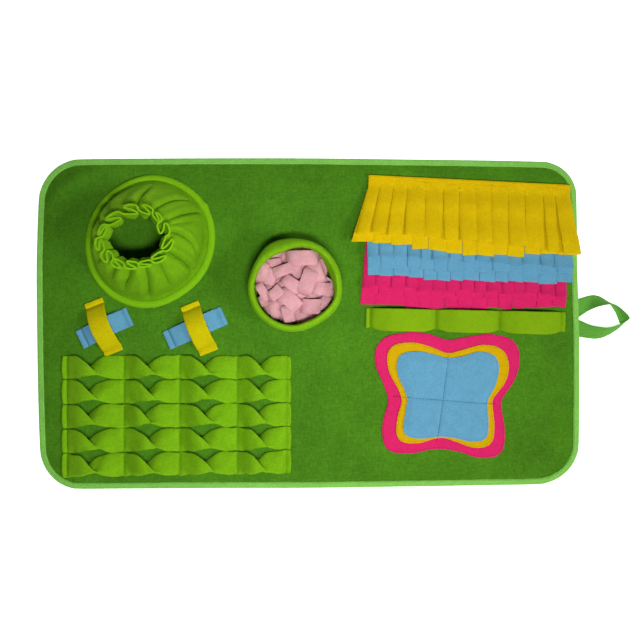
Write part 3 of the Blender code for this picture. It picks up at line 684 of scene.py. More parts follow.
def base_material(name, colour):
    """Needled felt on a woven scrim: the scrim's threads, drawn twice as coarse as real, show faintly."""
    material, tree, shader = new_material(name, 0.96, 0.12, colour)
    place = add_node(tree, "ShaderNodeTexCoord").outputs["Object"]
    thread = 0.0024
    stains = ((0.070, 1.0, 0.12), (0.009, 1.0, 0.06), (0.0034, 1.0, 0.16))
    scrim = ((thread, 0.25, 0.10), (4 * thread, 4.0, 0.09))
    tree.links.new(mottled(tree, place, colour, stains + scrim), shader.inputs["Base Color"])
    raise_fibres(tree, shader, place, 0.0016, 0.0005)
    return material


def tape_material(name, colour):
    """Woven polyester tape: fine ribs across it every 1.2 mm, with a slight gloss on its threads."""
    material, tree, shader = new_material(name, 0.75, 0.15, colour)
    place = add_node(tree, "ShaderNodeTexCoord")
    ribs = 0.0012
    wave_scale = 2 * math.pi / ribs / 20        # the node makes 20 / (2 pi) bands a metre at scale 1
    rib = add_node(
        tree, "ShaderNodeTexWave",
        {"Vector": place.outputs["UV"], "Scale": wave_scale, "Distortion": 0.4, "Detail": 1.0},
        bands_direction="Y",
    )
    flecks = mottled(tree, place.outputs["Object"], colour, ((0.03, 1.0, 0.06), (0.002, 1.0, 0.14)))
    tree.links.new(flecks, shader.inputs["Base Color"])
    raised = add_node(
        tree, "ShaderNodeBump", {"Height": rib.outputs["Fac"], "Distance": 0.0003, "Strength": 0.45},
    )
    tree.links.new(raised.outputs[0], shader.inputs["Normal"])
    return material


def thread_material(name, colour, shade):
    """Spun polyester sewing thread in the colour of the cloth that it holds, twisted every 0.6 mm."""
    found = bpy.data.materials.get(name)
    if found:
        return found
    # the shade factor darkens the thread; on the quilting it is painted shade of the seam's groove
    base = shaded(getattr(bpy.context.scene.mat_colours, colour), shade)[:3]
    material, tree, shader = new_material(name, 0.6, 0.1, base)
    place = add_node(tree, "ShaderNodeTexCoord").outputs["Object"]
    output = mottled(tree, place, base, ((0.0006, 1.0, 0.2),))
    tree.links.new(output, shader.inputs["Base Color"])
    return material


# ---------------------------------------------------------------- sizes and colours

def length_property(name, use, size, low, high):
    """A length with its default and its limits given in mm."""
    return FloatProperty(
        name=name, description=use, unit="LENGTH", precision=4,
        default=size * MM, min=low * MM, max=high * MM,
    )


class MatSizes(bpy.types.PropertyGroup):
    """Thickness of the cloths, and how they are sewn and lie."""

    felt: length_property("Felt", "Thickness of the felt straps, band and patch", 2.0, 1, 3)
    fleece: length_property("Fleece", "Thickness of the collar's fleece", 2.5, 1.5, 4)
    twist_fleece: length_property("Strip fleece", "Thickness of the twisted strips", 2.0, 1, 3)
    tape: length_property("Tape", "Thickness of the edge binding's tape", 0.6, 0.3, 1)
    binding: length_property("Binding", "Width of the binding on the mat's face", 9.0, 6, 12)
    stitch: length_property("Stitch", "Length of one stitch", 3.6, 2, 6)
    thread: length_property("Thread", "Thickness of the sewing thread", 0.75, 0.3, 1)
    ruffle: length_property("Ruffle", "Depth of the folds round the collar's mouth", 6.4, 2, 8)
    quilting: length_property("Quilting", "How far the patch's top felt puffs up", 2.2, 0, 5)
    swell: FloatProperty(
        name="Swell", description="How strongly the mat swells where nothing is sewn on",
        default=1.0, min=0, max=1.5,
    )
    seed: IntProperty(
        name="Seed", description="Another seed makes other uneven strands and strips",
        default=7, min=1, max=99,
    )


def colour_property(name, code, use):
    """A colour with its default given as a hex sRGB code."""
    return FloatVectorProperty(
        name=name, description="Colour of " + use, subtype="COLOR", size=3, min=0, max=1,
        default=linear_colour(code),
    )


class MatColours(bpy.types.PropertyGroup):
    """Colours of the cloths."""

    mat: colour_property("Mat", "498117", "the mat's felt")
    tape: colour_property("Tape", "86CD58", "the binding")
    loop: colour_property("Loop", "64AC3E", "the hanging loop")
    fleece: colour_property("Fleece", "78B110", "the collar, the cup and the twisted strips")
    band: colour_property("Band", "80AC0C", "the band with three arches")
    yellow: colour_property("Yellow", "DEBC00", "the fringe's yellow felt")
    lemon: colour_property("Lemon", "CEC000", "the upper straps' yellow felt")
    amber: colour_property("Amber", "D4AA00", "the patch's yellow felt")
    blue: colour_property("Blue", "64A2C3", "the blue felt")
    pink: colour_property("Pink", "DC2468", "the pink felt")
    pale_pink: colour_property("Pale pink", "DCA2AA", "the loose strips in the cup")
    floor: colour_property("Floor", "FAFAFA", "the stage")


# ---------------------------------------------------------------- the mat, its binding and its loop

def mat_rim():
    """The mat's outer edge, as evenly spaced points in order round it."""
    low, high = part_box("edge_binding")
    return even_points(node_outline("edge_binding", (low.z + high.z) / 2), RIM_POINTS, closed=True)


def corner_of(points, sign_x, sign_y):
    """The index of the point furthest towards a corner of the mat."""
    return max(range(len(points)), key=lambda i: sign_x * points[i].x + sign_y * points[i].y)


def side_between(points, start, end):
    """A function that gives the place a share of the way along the rim from one index to another."""
    steps = (end - start) % len(points)

    def place(share):
        spot = share * steps
        i = min(int(spot), steps - 1)
        near = points[(start + i) % len(points)]
        return near.lerp(points[(start + i + 1) % len(points)], spot - i)

    return place


def swell_height(place):
    """How far the mat's face lifts at a place."""
    height = 0.0
    for x, y, half_x, half_y, turn, rise in SWELLS:
        angle = math.radians(turn)
        off_x = (place.x - MIDDLE.x) / MM - x
        off_y = (place.y - MIDDLE.y) / MM - y
        along = off_x * math.cos(angle) + off_y * math.sin(angle)
        aside = off_y * math.cos(angle) - off_x * math.sin(angle)
        height += rise * bump(along, half_x) * bump(aside, half_y)
    return height * MM


class SNUFFLE_OT_mat(bpy.types.Operator):
    """Make the felt mat, thinner at its rim, where the binding grips it"""

    bl_idname = "snuffle.mat"
    bl_label = "Felt mat"

    def execute(self, context):
        sizes = context.scene.mat_sizes
        rim = drawn_in(mat_rim(), MAT_TUCK)
        corners = [corner_of(rim, *signs) for signs in ((-1, -1), (1, -1), (1, 1), (-1, 1))]
        bottom = side_between(rim, corners[0], corners[1])
        right = side_between(rim, corners[1], corners[2])
        top_back = side_between(rim, corners[2], corners[3])
        left_back = side_between(rim, corners[3], corners[0])
        ends = [rim[corner] for corner in corners]

        def place(u, v):
            top, left = top_back(1 - u), left_back(1 - v)
            spot = bottom(u).lerp(top, v) + left.lerp(right(v), u)
            spot -= ends[0].lerp(ends[1], u).lerp(ends[3].lerp(ends[2], u), v)
            edge = min(min(u, 1 - u) * MAT_LENGTH, min(v, 1 - v) * MAT_WIDTH)
            lift = swell_height(spot) * ease(*SWELL_EDGE, edge) * sizes.swell
            return Vector((spot.x, spot.y, MAT_TOP / 2 + lift))

        piece = cloth_grid("felt_mat", *MAT_GRID, place, (MAT_LENGTH, MAT_WIDTH))
        full = piece.vertex_groups.new(name="full")
        for vertex in piece.data.vertices:
            nearest = min((vertex.co.xy - point.xy).length for point in rim[::4])
            full.add([vertex.index], ease(*MAT_GRIPPED, nearest), "REPLACE")
        thicken(piece, MAT_TOP, thin_group="full", thin=MAT_THINNED)
        piece.vertex_groups.clear()
        material = base_material("needled_felt_green", context.scene.mat_colours.mat)
        finish_piece(piece, material, "mat_base", "mat_felt", (MAT_WIDTH, MAT_LENGTH))
        return {"FINISHED"}


class SNUFFLE_OT_binding(bpy.types.Operator):
    """Make the tape that is folded round the mat's rim, and its row of stitches"""

    bl_idname = "snuffle.binding"
    bl_label = "Edge binding"

    def execute(self, context):
        sizes = context.scene.mat_sizes
        rim = mat_rim()
        inward = [(inner - point) / MM for point, inner in zip(rim, drawn_in(rim, MM))]
        low = sizes.tape / 2
        wide = sizes.binding
        under = [(wide, low)] + [(inset * MM, low + up * MM) for inset, up in BINDING_TURN]
        over = [(inset, MAT_TOP - height) for inset, height in reversed(under)]
        profile = under + [(BINDING_FOLD, MAT_TOP / 2)] + over
        columns = len(rim)

        def place(u, v):
            i = round(u * columns) % columns
            inset, height = profile[round(v * (len(profile) - 1))]
            if inset == wide:
                inset += 0.35 * MM * noise.noise(rim[i] / 0.011) + 0.3 * MM * noise.noise(rim[i] / 0.05)
            if inset > 1.5 * MM and height > MAT_TOP / 2:
                height += 0.12 * MM * noise.noise(rim[i] / 0.004)
            spot = rim[i] + inward[i] * inset
            return Vector((spot.x, spot.y, height))

        flat = (2 * wide + MAT_TOP, length_of(rim, True))
        piece = cloth_grid("binding_tape", columns, len(profile) - 1, place, flat[::-1])
        for corner in piece.data.uv_layers.active.data:
            corner.uv = (corner.uv.y, corner.uv.x)
        close_seams(piece)
        thicken(piece, sizes.tape)
        material = tape_material("woven_tape_green", context.scene.mat_colours.tape)
        finish_piece(piece, material, "edge_binding", "binding_tape", flat)
        inner = drawn_in(rim, wide - BINDING_SEAM)
        seam = [Vector((point.x, point.y, MAT_TOP + 0.05 * MM)) for point in inner]
        sew("binding_stitches", [seam[::4]], "tape", closed=True)
        return {"FINISHED"}


class SNUFFLE_OT_loop(bpy.types.Operator):
    """Make the hanging loop, a tape that lies flat at its ends and stands on edge round its tip"""

    bl_idname = "snuffle.loop"
    bl_label = "Hanging loop"

    def execute(self, context):
        sizes = context.scene.mat_sizes
        root = Vector((MIDDLE.x + MAT_LENGTH / 2 + LOOP_ROOT, MIDDLE.y, 0))
        low = [Vector(row[:3]) * MM + root for row in LOOP_EDGES]
        high = [Vector(row[3:]) * MM + root for row in LOOP_EDGES]

        def place(u, v):
            spot = along_table(low, v).lerp(along_table(high, v), u)
            spot.z += 0.25 * MM * noise.noise(Vector((u * 2, v * 9, 3.0)))
            return spot

        piece = cloth_grid("loop_tape", 8, 56, place, LOOP_SIZE)
        thicken(piece, 2 * sizes.tape, rounds=1)
        material = tape_material("woven_tape_deep_green", context.scene.mat_colours.loop)
        finish_piece(piece, material, "hanging_loop", "binding_tape", LOOP_SIZE)
        seams = []
        for share in (0.08, 0.92):
            seams.append([place(share, v / 40) + Vector((0, 0, sizes.tape)) for v in range(41)])
        sew("loop_stitches", seams, "loop")
        return {"FINISHED"}


# ---------------------------------------------------------------- the collar and the cup

def crease_depth(bearing, height, radius):
    """How far the listed creases press the collar's wall in at a place, in mm."""
    depth = 0.0
    for from_bearing, from_height, to_bearing, to_height, deep, wide in COLLAR_CREASES:
        share = (from_height - height) / (from_height - to_height)
        if not -0.3 < share < 1.3:
            continue
        centre = from_bearing + turned_from(from_bearing, to_bearing, 360) * min(max(share, 0.0), 1.0)
        aside = math.radians(turned_from(centre, bearing, 360)) * radius
        fade = ease(-0.3, 0.05, share) * (1 - ease(0.55, 1.25, share))
        sharp = math.exp(0.40 - math.hypot(aside / (0.52 * wide), 0.40))
        depth += 1.75 * deep * fade * (sharp - 0.42 * bump(abs(aside) - 1.9 * wide, 1.3 * wide))
    return depth


def collar_hem(angle):
    """How far the hem's edge lies outside the profile at a bearing, and how far its seam sways in, in mm."""
    edge = along_table(COLLAR_EDGE, angle / (2 * math.pi), closed=True) - COLLAR_PROFILE[1][0]
    return edge, COLLAR_HEM_SWAY * (1 + math.cos(angle - COLLAR_WIDE_SIDE)) / 2


def ruffle_fold(u):
    """The ruffle's bearing at a share of the way round, half a fold's width there, and the fold's phase."""
    bearings = [bearing for bearing, _ in COLLAR_FOLDS]
    spot = u * COLLAR_PLEATS
    start, end = (bearings[(int(spot) + step) % COLLAR_PLEATS] for step in (0, 1))
    folded = math.radians(start + (end - start) % 360 * (spot - int(spot)))
    neighbours = zip(bearings[-1:] + bearings[:-1], bearings[1:] + bearings[:1])
    gaps = [(after - before) % 360 / 2 for before, after in neighbours]
    return folded, math.radians(along_table(gaps, u, closed=True)), 2 * math.pi * spot


def collar_place(profile, u, v, ruffle):
    """A place on the collar: u runs round it, and v up its profile."""
    last = len(profile) - 1
    row = round(v * last)
    point = profile[row]
    slope = profile[min(row + 1, last)] - profile[max(row - 1, 0)]
    outward = Vector((slope.y, -slope.x)).normalized()
    radius, height = point.x, point.y

    # towards the mouth, the angle and radius follow the folds of the ruffle
    fold = ease(RUFFLE_FROM, RUFFLE_FULL, height)
    folded, pleat, phase = ruffle_fold(u)
    mouth = along_table([size for _, size in COLLAR_FOLDS], u, closed=True) - COLLAR_MOUTH_RADIUS
    radius += mouth * ease(*COLLAR_NECK, height)
    loop = RUFFLE_BULGE * math.sin(2 * phase) + RUFFLE_ROUND * math.sin(phase)
    angle = folded + pleat * fold * fold * (loop - RUFFLE_LEAN * math.cos(phase))
    radius -= ruffle / MM * fold * (0.9 + 0.35 * wander_round(folded, 2.2, 5.0)) * math.cos(phase)

    # low down, the wall follows the hem, and the hem is thick where its ends lap
    edge, sway = collar_hem(angle)
    low = 1 - ease(*COLLAR_FOOT, height)
    radius -= sway * low * (1 - ease(*COLLAR_HEM, point.x))
    radius += edge * low
    if height < 4:
        lap = turned_from(COLLAR_JOIN, angle)
        thick_out, thick_up = COLLAR_LAP
        radius += thick_out * bump(lap, 0.05) * ease(88.0, 95.0, point.x)
        height += thick_up * bump(lap, 0.06) * ease(88.0, 92.0, point.x)

    # between, it sags on its slack side, is pressed in by its creases and puffs out softly
    slack_bearing, slack_width, slack_depth = COLLAR_SLACK
    slack = bump(turned_from(slack_bearing, angle), slack_width)
    radius -= slack_depth * slack * ease(4.0, 14.0, height) * (1 - ease(40.0, 64.0, height))
    press = crease_depth(math.degrees(angle) % 360, height, radius) * ease(3.0, 14.0, height)
    press *= 1 - 0.7 * ease(72.0, 84.0, height)
    press -= COLLAR_PUFF * wander_round(angle, 1.6, height / 30) * ease(4.0, 20.0, height) * (1 - fold)
    radius -= outward.x * press
    height -= outward.y * press
    if height > 84:
        height += 1.6 * wander_round(angle, 3, 8.0)

    share_up = max(height, 0.0) / COLLAR_PROFILE[-1][1]
    shift_x, shift_y, stretch_x, stretch_y = COLLAR_MOUTH
    x = shift_x * share_up + radius * between(1.0, stretch_x, share_up) * math.cos(angle)
    y = shift_y * share_up + radius * between(1.0, stretch_y, share_up) * math.sin(angle)
    return COLLAR_MIDDLE + Vector((x, y, height)) * MM


class SNUFFLE_OT_collar(bpy.types.Operator):
    """Make the gathered collar pocket with its hem, its creased wall and the ruffle round its mouth"""

    bl_idname = "snuffle.collar"
    bl_label = "Collar pocket"

    def execute(self, context):
        sizes = context.scene.mat_sizes
        profile = even_points([Vector(row) for row in COLLAR_PROFILE], COLLAR_ROWS + 1)

        def place(u, v):
            return collar_place(profile, u % 1.0, v, sizes.ruffle)

        piece = cloth_grid("collar_fleece", COLLAR_COLUMNS, COLLAR_ROWS, place, COLLAR_CLOTH[::-1])
        close_seams(piece)
        thicken(piece, sizes.fleece, edge=0.8 * MM)
        keep_above_mat(piece)
        colour = context.scene.mat_colours.fleece
        # the wall is painted darker as painted shade, and the hem and the ruffle's cut edge paler as painted
        # light
        material = fleece_material("cut_fleece_green", colour, edge=0.1228, hem=0.0085)
        area = COLLAR_CLOTH_AREA
        finish_piece(piece, material, "collar_pocket", "fleece", COLLAR_CLOTH, area)
        seam = []
        for step in range(90):
            angle = 2 * math.pi * step / 90
            hem, sway = collar_hem(angle)
            seam.append(place_round(COLLAR_MIDDLE, COLLAR_SEAM[0] - sway + hem, angle, COLLAR_SEAM[1]))
        sew("collar_stitches", [seam], "fleece", closed=True)
        return {"FINISHED"}


def cup_place(profile, u, v):
    """A place on the cup: u runs round it, and v up its wall, over its rim and down inside."""
    last = len(profile) - 1
    point = profile[round(v * last)]
    angle = 2 * math.pi * u
    radius, height = point.x, point.y
    radius += sum(depth * math.cos(count * angle + turn) for count, depth, turn in CUP_WAVES)
    sag_bearing, sag_width, sag_depth = CUP_SAG
    slack = bump(turned_from(sag_bearing, angle), sag_width)
    radius -= 0.62 * sag_depth * slack * ease(38.0, 62.0, height)
    radius -= 0.75 * sag_depth * slack * ease(0.40, 0.56, v) * (1 - ease(0.72, 0.95, v))
    height -= 2.0 * slack * ease(40.0, 62.0, height)
    lining_bearing, lining_width, lining_depth = CUP_LINING_SAG
    loose = bump(turned_from(lining_bearing, angle), lining_width)
    radius -= lining_depth * loose * ease(0.52, 0.68, v) * (1 - ease(0.8, 1.0, v))
    radius += 0.9 * wander_round(angle, 2.4, height / 22)
    height += 0.9 * wander_round(angle, 2, 4.0) * ease(40, 60, height)
    return place_round(CUP_MIDDLE, radius, angle, height)


class SNUFFLE_OT_cup(bpy.types.Operator):
    """Make the cup pocket: a fleece wall with a thick rolled rim that sags a little on one side"""

    bl_idname = "snuffle.cup"
    bl_label = "Cup pocket"

    def execute(self, context):
        profile = even_points([Vector(row) for row in CUP_PROFILE + CUP_LINING], CUP_GRID[1] + 1)

        def place(u, v):
            return cup_place(profile, u % 1.0, v)

        piece = cloth_grid("cup_fleece", *CUP_GRID, place, CUP_CLOTH[::-1])
        close_seams(piece)
        thicken(piece, CUP_FLEECE, edge=0.5 * MM)
        keep_above_mat(piece)
        material = fleece_material("brushed_fleece_green", context.scene.mat_colours.fleece)
        finish_piece(piece, material, "cup_pocket", "fleece", CUP_CLOTH)
        seam = [place(step / 80, CUP_SEAM[0]) for step in range(80)]
        for point in seam:
            outward = Vector((point.x - CUP_MIDDLE.x, point.y - CUP_MIDDLE.y, 0)).normalized()
            point += outward * CUP_SEAM[1]
        sew("cup_stitches", [seam], "fleece", closed=True)
        return {"FINISHED"}


def fill_strip(number, centre, heading, length, width, top, cut, lean):
    """One loose strip and its flat area. It arches, and dives at its ends. cut shortens its far end."""
    half = length / 2
    drop = min(half * 0.75, 13.0)
    arch = [(half * 0.5, -drop * 0.07), (half * 0.86, -drop * 0.38), (half, -drop)]
    arch += [(half + 0.5, -drop - FILL_LEG / 2), (half + 1.5, -drop - FILL_LEG)]
    far = [(half * 0.45, -drop * 0.03), (half * (1 - cut / 2), -drop * 0.16)] if cut else arch
    path = [(-x, y) for x, y in reversed(arch)] + [(0, 0)] + far
    points = even_points([Vector(spot) for spot in path], FILL_ROWS + 1)
    along = Vector((math.cos(heading), math.sin(heading), 0))
    aside = Vector((-along.y, along.x, 0))

    def place(u, v):
        point = points[round(v * FILL_ROWS)]
        across = (u - 0.5) * width
        cupped = -1.3 * (2 * u - 1) ** 2
        across += 1.6 * noise.noise(Vector((v * 2.2, u, number * 1.7)))
        spot = along * point.x + aside * across
        spot.z = top + point.y + cupped + lean * across
        reach = Vector((spot.x + centre[0], spot.y + centre[1], 0))
        if reach.length > FILL_LIMIT:
            reach = reach.normalized() * FILL_LIMIT
        waver = 1.5 * noise.noise(Vector((spot.x / 9, spot.y / 9, number * 3.1)))
        height = max(spot.z + waver, 3.0)
        return CUP_MIDDLE + Vector((reach.x, reach.y, height)) * MM

    size = (width * MM, length_of(points) * MM)
    return cloth_grid("fill_strip", 6, FILL_ROWS, place, size), size[0] * size[1]


class SNUFFLE_OT_fill(bpy.types.Operator):
    """Make the loose pale strips in the cup, which arch over each other, and their round backing"""

    bl_idname = "snuffle.fill"
    bl_label = "Loose strips in the cup"

    def execute(self, context):
        chance = random.Random(context.scene.mat_sizes.seed)
        strips = []
        for number, (x, y, turn, length, width, top, cut) in enumerate(FILL_SHOWN):
            lean = chance.uniform(-0.12, 0.12)
            strips.append(fill_strip(number, (x, y), math.radians(turn), length, width, top, cut, lean))
        for number in range(FILL_HIDDEN):
            bearing = 2 * math.pi * number * FILL_TURN
            out = math.sqrt((number + 0.5) / FILL_HIDDEN)
            reach = FILL_HIDDEN_REACH * out
            centre = (reach * math.cos(bearing), reach * math.sin(bearing))
            heading = chance.uniform(0, math.pi)
            top = between(*FILL_HIDDEN_TOP, out) + chance.uniform(-3, 3)
            lean = chance.uniform(-0.2, 0.2)
            own = FILL_HIDDEN_FROM + number
            strips.append(fill_strip(own, centre, heading, *FILL_HIDDEN_SIZE, top, 0.0, lean))
        radius, height, thickness = FILL_BACKING
        area = sum(flat for _, flat in strips) + math.pi * (radius * MM) ** 2
        piece = join("cup_strips", [strip for strip, _ in strips])
        thicken(piece, FILL_FLEECE, edge=0.4 * MM)

        def backing(u, v):
            return place_round(CUP_MIDDLE, radius * v, 2 * math.pi * u, height)

        disc = cloth_grid("fill_backing", 48, 6, backing, (2 * radius * MM, 2 * radius * MM))
        close_seams(disc)
        thicken(disc, thickness * MM)
        piece = join("cup_strips", [piece, disc])
        colour = context.scene.mat_colours.pale_pink
        material = fleece_material("brushed_fleece_pale_pink", colour, swing=0.06)
        shader = material.node_tree.nodes["Principled BSDF"]
        shader.inputs["Subsurface Weight"].default_value = 0.25
        shader.inputs["Subsurface Radius"].default_value = (1.0, 0.45, 0.40)
        shader.inputs["Subsurface Scale"].default_value = 5 * MM
        slot = "pale_pink_fleece"
        finish_piece(piece, material, "cup_fill", slot, FILL_CLOTH, area)
        return {"FINISHED"}


# ---------------------------------------------------------------- straps, band and twisted strips

def arched_strip(name, start, end, width, seams, rise, fullness, thickness, wave, pinch=0.0):
    """A felt strip that lies flat at its seams and arches up between them.

    wave is how far its sides wander on an arch, in mm, and pinch the share of its width lost at a seam.
    """
    run = Vector((end[0] - start[0], end[1] - start[1], 0))
    length = run.length
    along = run.normalized()
    aside = Vector((-along.y, along.x, 0))
    steps = stations(length, seams, ARCH_STEP)

    def height_at(spot):
        height = 0.0
        for seam, following in zip(seams, seams[1:]):
            if seam < spot < following:
                share = 2 * (spot - seam) / (following - seam) - 1
                height = rise * (1 - abs(share) ** fullness)
        return height

    def place(u, v):
        spot = along_table(steps, v)
        across = (u - 0.5) * width / MM
        height = height_at(spot)
        lift = height / rise
        beside = min(abs(spot - seam) for seam in seams)
        narrow = 1 - pinch * bump(beside, 11.0)
        across = across * narrow + 0.5 * (1 - narrow) * width / MM
        across += wave * lift * noise.noise(Vector((spot / 28, 2.0, start[0])))
        height += 0.75 * seam_puff(beside)
        height += 0.5 * lift * noise.noise(Vector((spot / 16, u * 2, start[1])))
        height -= 0.35 * lift * (2 * u - 1) ** 2
        flat = on_mat(*start) + (along * spot + aside * across) * MM
        flat.z = SEWN + thickness / 2 + height * MM
        return flat

    piece = cloth_grid(name, 10, len(steps) - 1, place, (width, length * MM))
    thicken(piece, thickness, rounds=1)
    keep_above_mat(piece)
    return piece


def arched_length(run, rise):
    """The flat length in metres of an arch with a run and a rise in mm."""
    return (run + rise * rise * ARCH_STRETCH / run) * MM


def seam_across(start, end, width, spot, height):
    """A path straight across a strip at a distance along it in mm, at a height over the mat."""
    start, end = Vector(start), Vector(end)
    along = (end - start).normalized()
    aside = Vector((-along.y, along.x)) * width / MM
    return [on_mat(*(start + along * spot + aside * side), height) for side in (-0.46, 0.46)]


class SNUFFLE_OT_straps(bpy.types.Operator):
    """Make the two crosses of felt straps, each yellow strap arching over a blue one"""

    bl_idname = "snuffle.straps"
    bl_label = "Crossed straps"

    def execute(self, context):
        sizes = context.scene.mat_sizes
        level = sizes.felt / MM + THREAD_LIFT
        for node, kind, start_x, start_y, end_x, end_y, rise in STRAPS:
            start, end = (start_x, start_y), (end_x, end_y)
            length = math.dist(start, end)
            ends = (STRAP_END, length - STRAP_END)
            piece = arched_strip(
                node + "_felt", start, end, STRAP_WIDTH, ends, rise, STRAP_FULLNESS, sizes.felt, wave=0.6,
            )
            material = felt_material("pressed_felt_" + kind, getattr(context.scene.mat_colours, kind))
            slot = {"lemon": "yellow_felt"}.get(kind, kind + "_felt")
            size = (STRAP_WIDTH, arched_length(length, rise))
            finish_piece(piece, material, node, slot, size)
            seams = [seam_across(start, end, STRAP_WIDTH, spot, level) for spot in ends]
            sew(node + "_stitches", seams, kind)
        return {"FINISHED"}


class SNUFFLE_OT_band(bpy.types.Operator):
    """Make the felt band that is sewn down at four seams, with three arches between them"""

    bl_idname = "snuffle.band"
    bl_label = "Arched band"

    def execute(self, context):
        sizes = context.scene.mat_sizes
        piece = arched_strip(
            "band_felt", BAND_START, BAND_END, BAND_WIDTH, BAND_SEAMS, BAND_RISE, BAND_FULLNESS, sizes.felt,
            wave=0.5, pinch=BAND_PINCH,
        )
        material = felt_material("pressed_felt_light_green", context.scene.mat_colours.band)
        arches = len(BAND_SEAMS) - 1
        size = (BAND_WIDTH, arches * arched_length(math.dist(BAND_START, BAND_END) / arches, BAND_RISE))
        finish_piece(piece, material, "loop_band", "band_felt", size)
        level = sizes.felt / MM + THREAD_LIFT
        seams = [seam_across(BAND_START, BAND_END, BAND_WIDTH, seam, level) for seam in BAND_SEAMS]
        sew("band_stitches", seams, "band")
        return {"FINISHED"}


def stations(length, seams, step):
    """Places along a strip in mm, close together beside the seams."""
    places = {0.0, length}
    for i in range(1, int(length / step)):
        if min(abs(i * step - seam) for seam in seams) > SEAM_STEPS[-1] + step / 2:
            places.add(i * step)
    beside = [seam + side * off for seam in seams for off in SEAM_STEPS for side in (-1, 1)]
    places.update(place for place in beside if 0 < place < length)
    return sorted(places)


def seam_puff(distance):
    """How far cloth stands up at a distance from the seam that holds it down, in mm."""
    height, near, far = SEAM_PUFF
    return height * (1 - bump(distance, near)) * bump(distance, far)


def front_edge(share):
    """How far a turned strip's front edge lies from its middle, from 1 at the top to -1 at the bottom."""
    return math.cos(math.pi * between(share, ease(0.0, 1.0, share), 0.9))


def twist_place(row, u, x):
    """A place on a twisted strip: it rolls over once between two seams, with a belly towards -Y."""
    seams = TWIST_SEAMS
    cell = max(0, min(sum(x > seam for seam in seams) - 1, len(seams) - 2))
    start = seams[cell] + (TWIST_SEAM_HALF if cell else 0.0)
    end = seams[cell + 1] - (TWIST_SEAM_HALF if cell < len(seams) - 2 else 0.0)
    uneven = noise.noise(Vector((row * 2.3, cell * 1.9, 1.0)))
    along = min(max((x - start) / (end - start), 0.0), 1.0)
    along += (0.05 + 0.10 * noise.noise(Vector((row * 3.7, cell * 5.3, 9.0)))) * math.sin(math.pi * along)
    turn = math.pi * along
    side = (2 * u - 1) * (1 if cell % 2 == 0 else -1)
    share = (x - TWIST_LEFT) / (TWIST_RIGHT - TWIST_LEFT)
    outer = max(seams[0] - x, x - seams[-1], 0.0) / TWIST_END
    bow = 1.6 * outer * (1 - side ** 2) * (-1 if x < seams[0] else 1)
    pitch = between(*TWIST_PITCH, share)
    centre = between(*TWIST_TOP, share) - pitch * (row + 0.5)
    half = (pitch - TWIST_GAP) / 2
    lift = math.sin(turn) ** 1.25 if 0 < turn < math.pi else 0.0
    belly = TWIST_BELLY * (1 + 0.22 * uneven) * (1 + 0.35 * math.cos(turn))
    front, back = front_edge(along), front_edge(1 - along)
    y = centre + half * between(back, front, (1 + side) / 2)
    y += TWIST_UP * lift * lift - belly * lift * (1 - side ** 2)
    height = between(TWIST_BACK, TWIST_RISE * (1 + 0.10 * uneven), (1 + side) / 2) * lift
    height += TWIST_ROUND * lift * (1 - side ** 2)
    height += 2.4 * lift * noise.noise(Vector((x / 15, row * 5.0, side * 1.4)))
    y += 2.4 * noise.noise(Vector((x / 14, row * 4.0, side * 1.2)))
    height += seam_puff(min(abs(x - seam) for seam in seams)) * (1 - 0.5 * side ** 4)
    spot = on_mat(x + bow, y, height)
    spot.z += bpy.context.scene.mat_sizes.twist_fleece / 2
    return spot


class SNUFFLE_OT_twists(bpy.types.Operator):
    """Make the five fleece strips that are sewn down at five seams and turned over between them"""

    bl_idname = "snuffle.twists"
    bl_label = "Twisted strips"

    def execute(self, context):
        sizes = context.scene.mat_sizes
        material = fleece_material("brushed_fleece_green", context.scene.mat_colours.fleece)
        length = TWIST_RIGHT - TWIST_LEFT
        size = (TWIST_CLOTH, length * TWIST_STRETCH * MM)
        steps = stations(length, [seam - TWIST_LEFT for seam in TWIST_SEAMS], TWIST_STEP)
        last = len(steps) - 1
        for row in range(TWIST_ROWS):

            def place(u, v):
                return twist_place(row, u, TWIST_LEFT + steps[round(v * last)])

            piece = cloth_grid("twist_fleece_%d" % (row + 1), 12, last, place, size)
            thicken(piece, sizes.twist_fleece, rounds=1)
            keep_above_mat(piece)
            finish_piece(piece, material, "twist_strip_%d" % (row + 1), "fleece", size)
        seams = []
        level = sizes.twist_fleece / MM + THREAD_LIFT / 2
        for seam in TWIST_SEAMS:
            share = (seam - TWIST_LEFT) / length
            top = between(*TWIST_TOP, share)
            bottom = top - TWIST_ROWS * between(*TWIST_PITCH, share)
            seams.append([on_mat(seam, top - 1.5, level), on_mat(seam, bottom + 1.5, level)])
        sew("twist_stitches", seams, "fleece")
        return {"FINISHED"}


# ---------------------------------------------------------------- fringe

def fringe_lean(row, share):
    """The sideways slope of a strand a share of the way along its row's header."""
    left, right = FRINGE_ROWS[row][3]
    left_until, right_from = FRINGE_LEANING
    left *= max(0.0, 1 - share / left_until) ** 2
    right *= max(0.0, (share - right_from) / (1 - right_from)) ** 2
    return math.tan(math.radians(left + right))


def fringe_height(row, drop):
    """How high a strand has climbed over the rows below at a distance down from its header's top."""
    start = FRINGE_ROWS[row][1]
    climb = (FRINGE_STACK + 1) * FRINGE_LAYER - FRINGE_FELT / MM
    height = 0.0
    for lower in range(row + 1, len(FRINGE_ROWS)):
        ready = FRINGE_ROWS[lower][1] - start - FRINGE_LEAD * (lower - row)
        height += climb * ease(ready - FRINGE_CLIMB, ready, drop)
    return height


def strand_marks(row, layer, chance):
    """Where the cuts between the strands lie along a header, from 0 to 1."""
    count = FRINGE_ROWS[row][2]
    if row == 0 and layer == 1:
        return (0.0, *YELLOW_CUTS, 1.0)
    widths = [chance.uniform(0.82, 1.18) for _ in range(count)]
    total = sum(widths)
    marks = [0.0]
    for width in widths:
        marks.append(marks[-1] + width / total)
    return marks


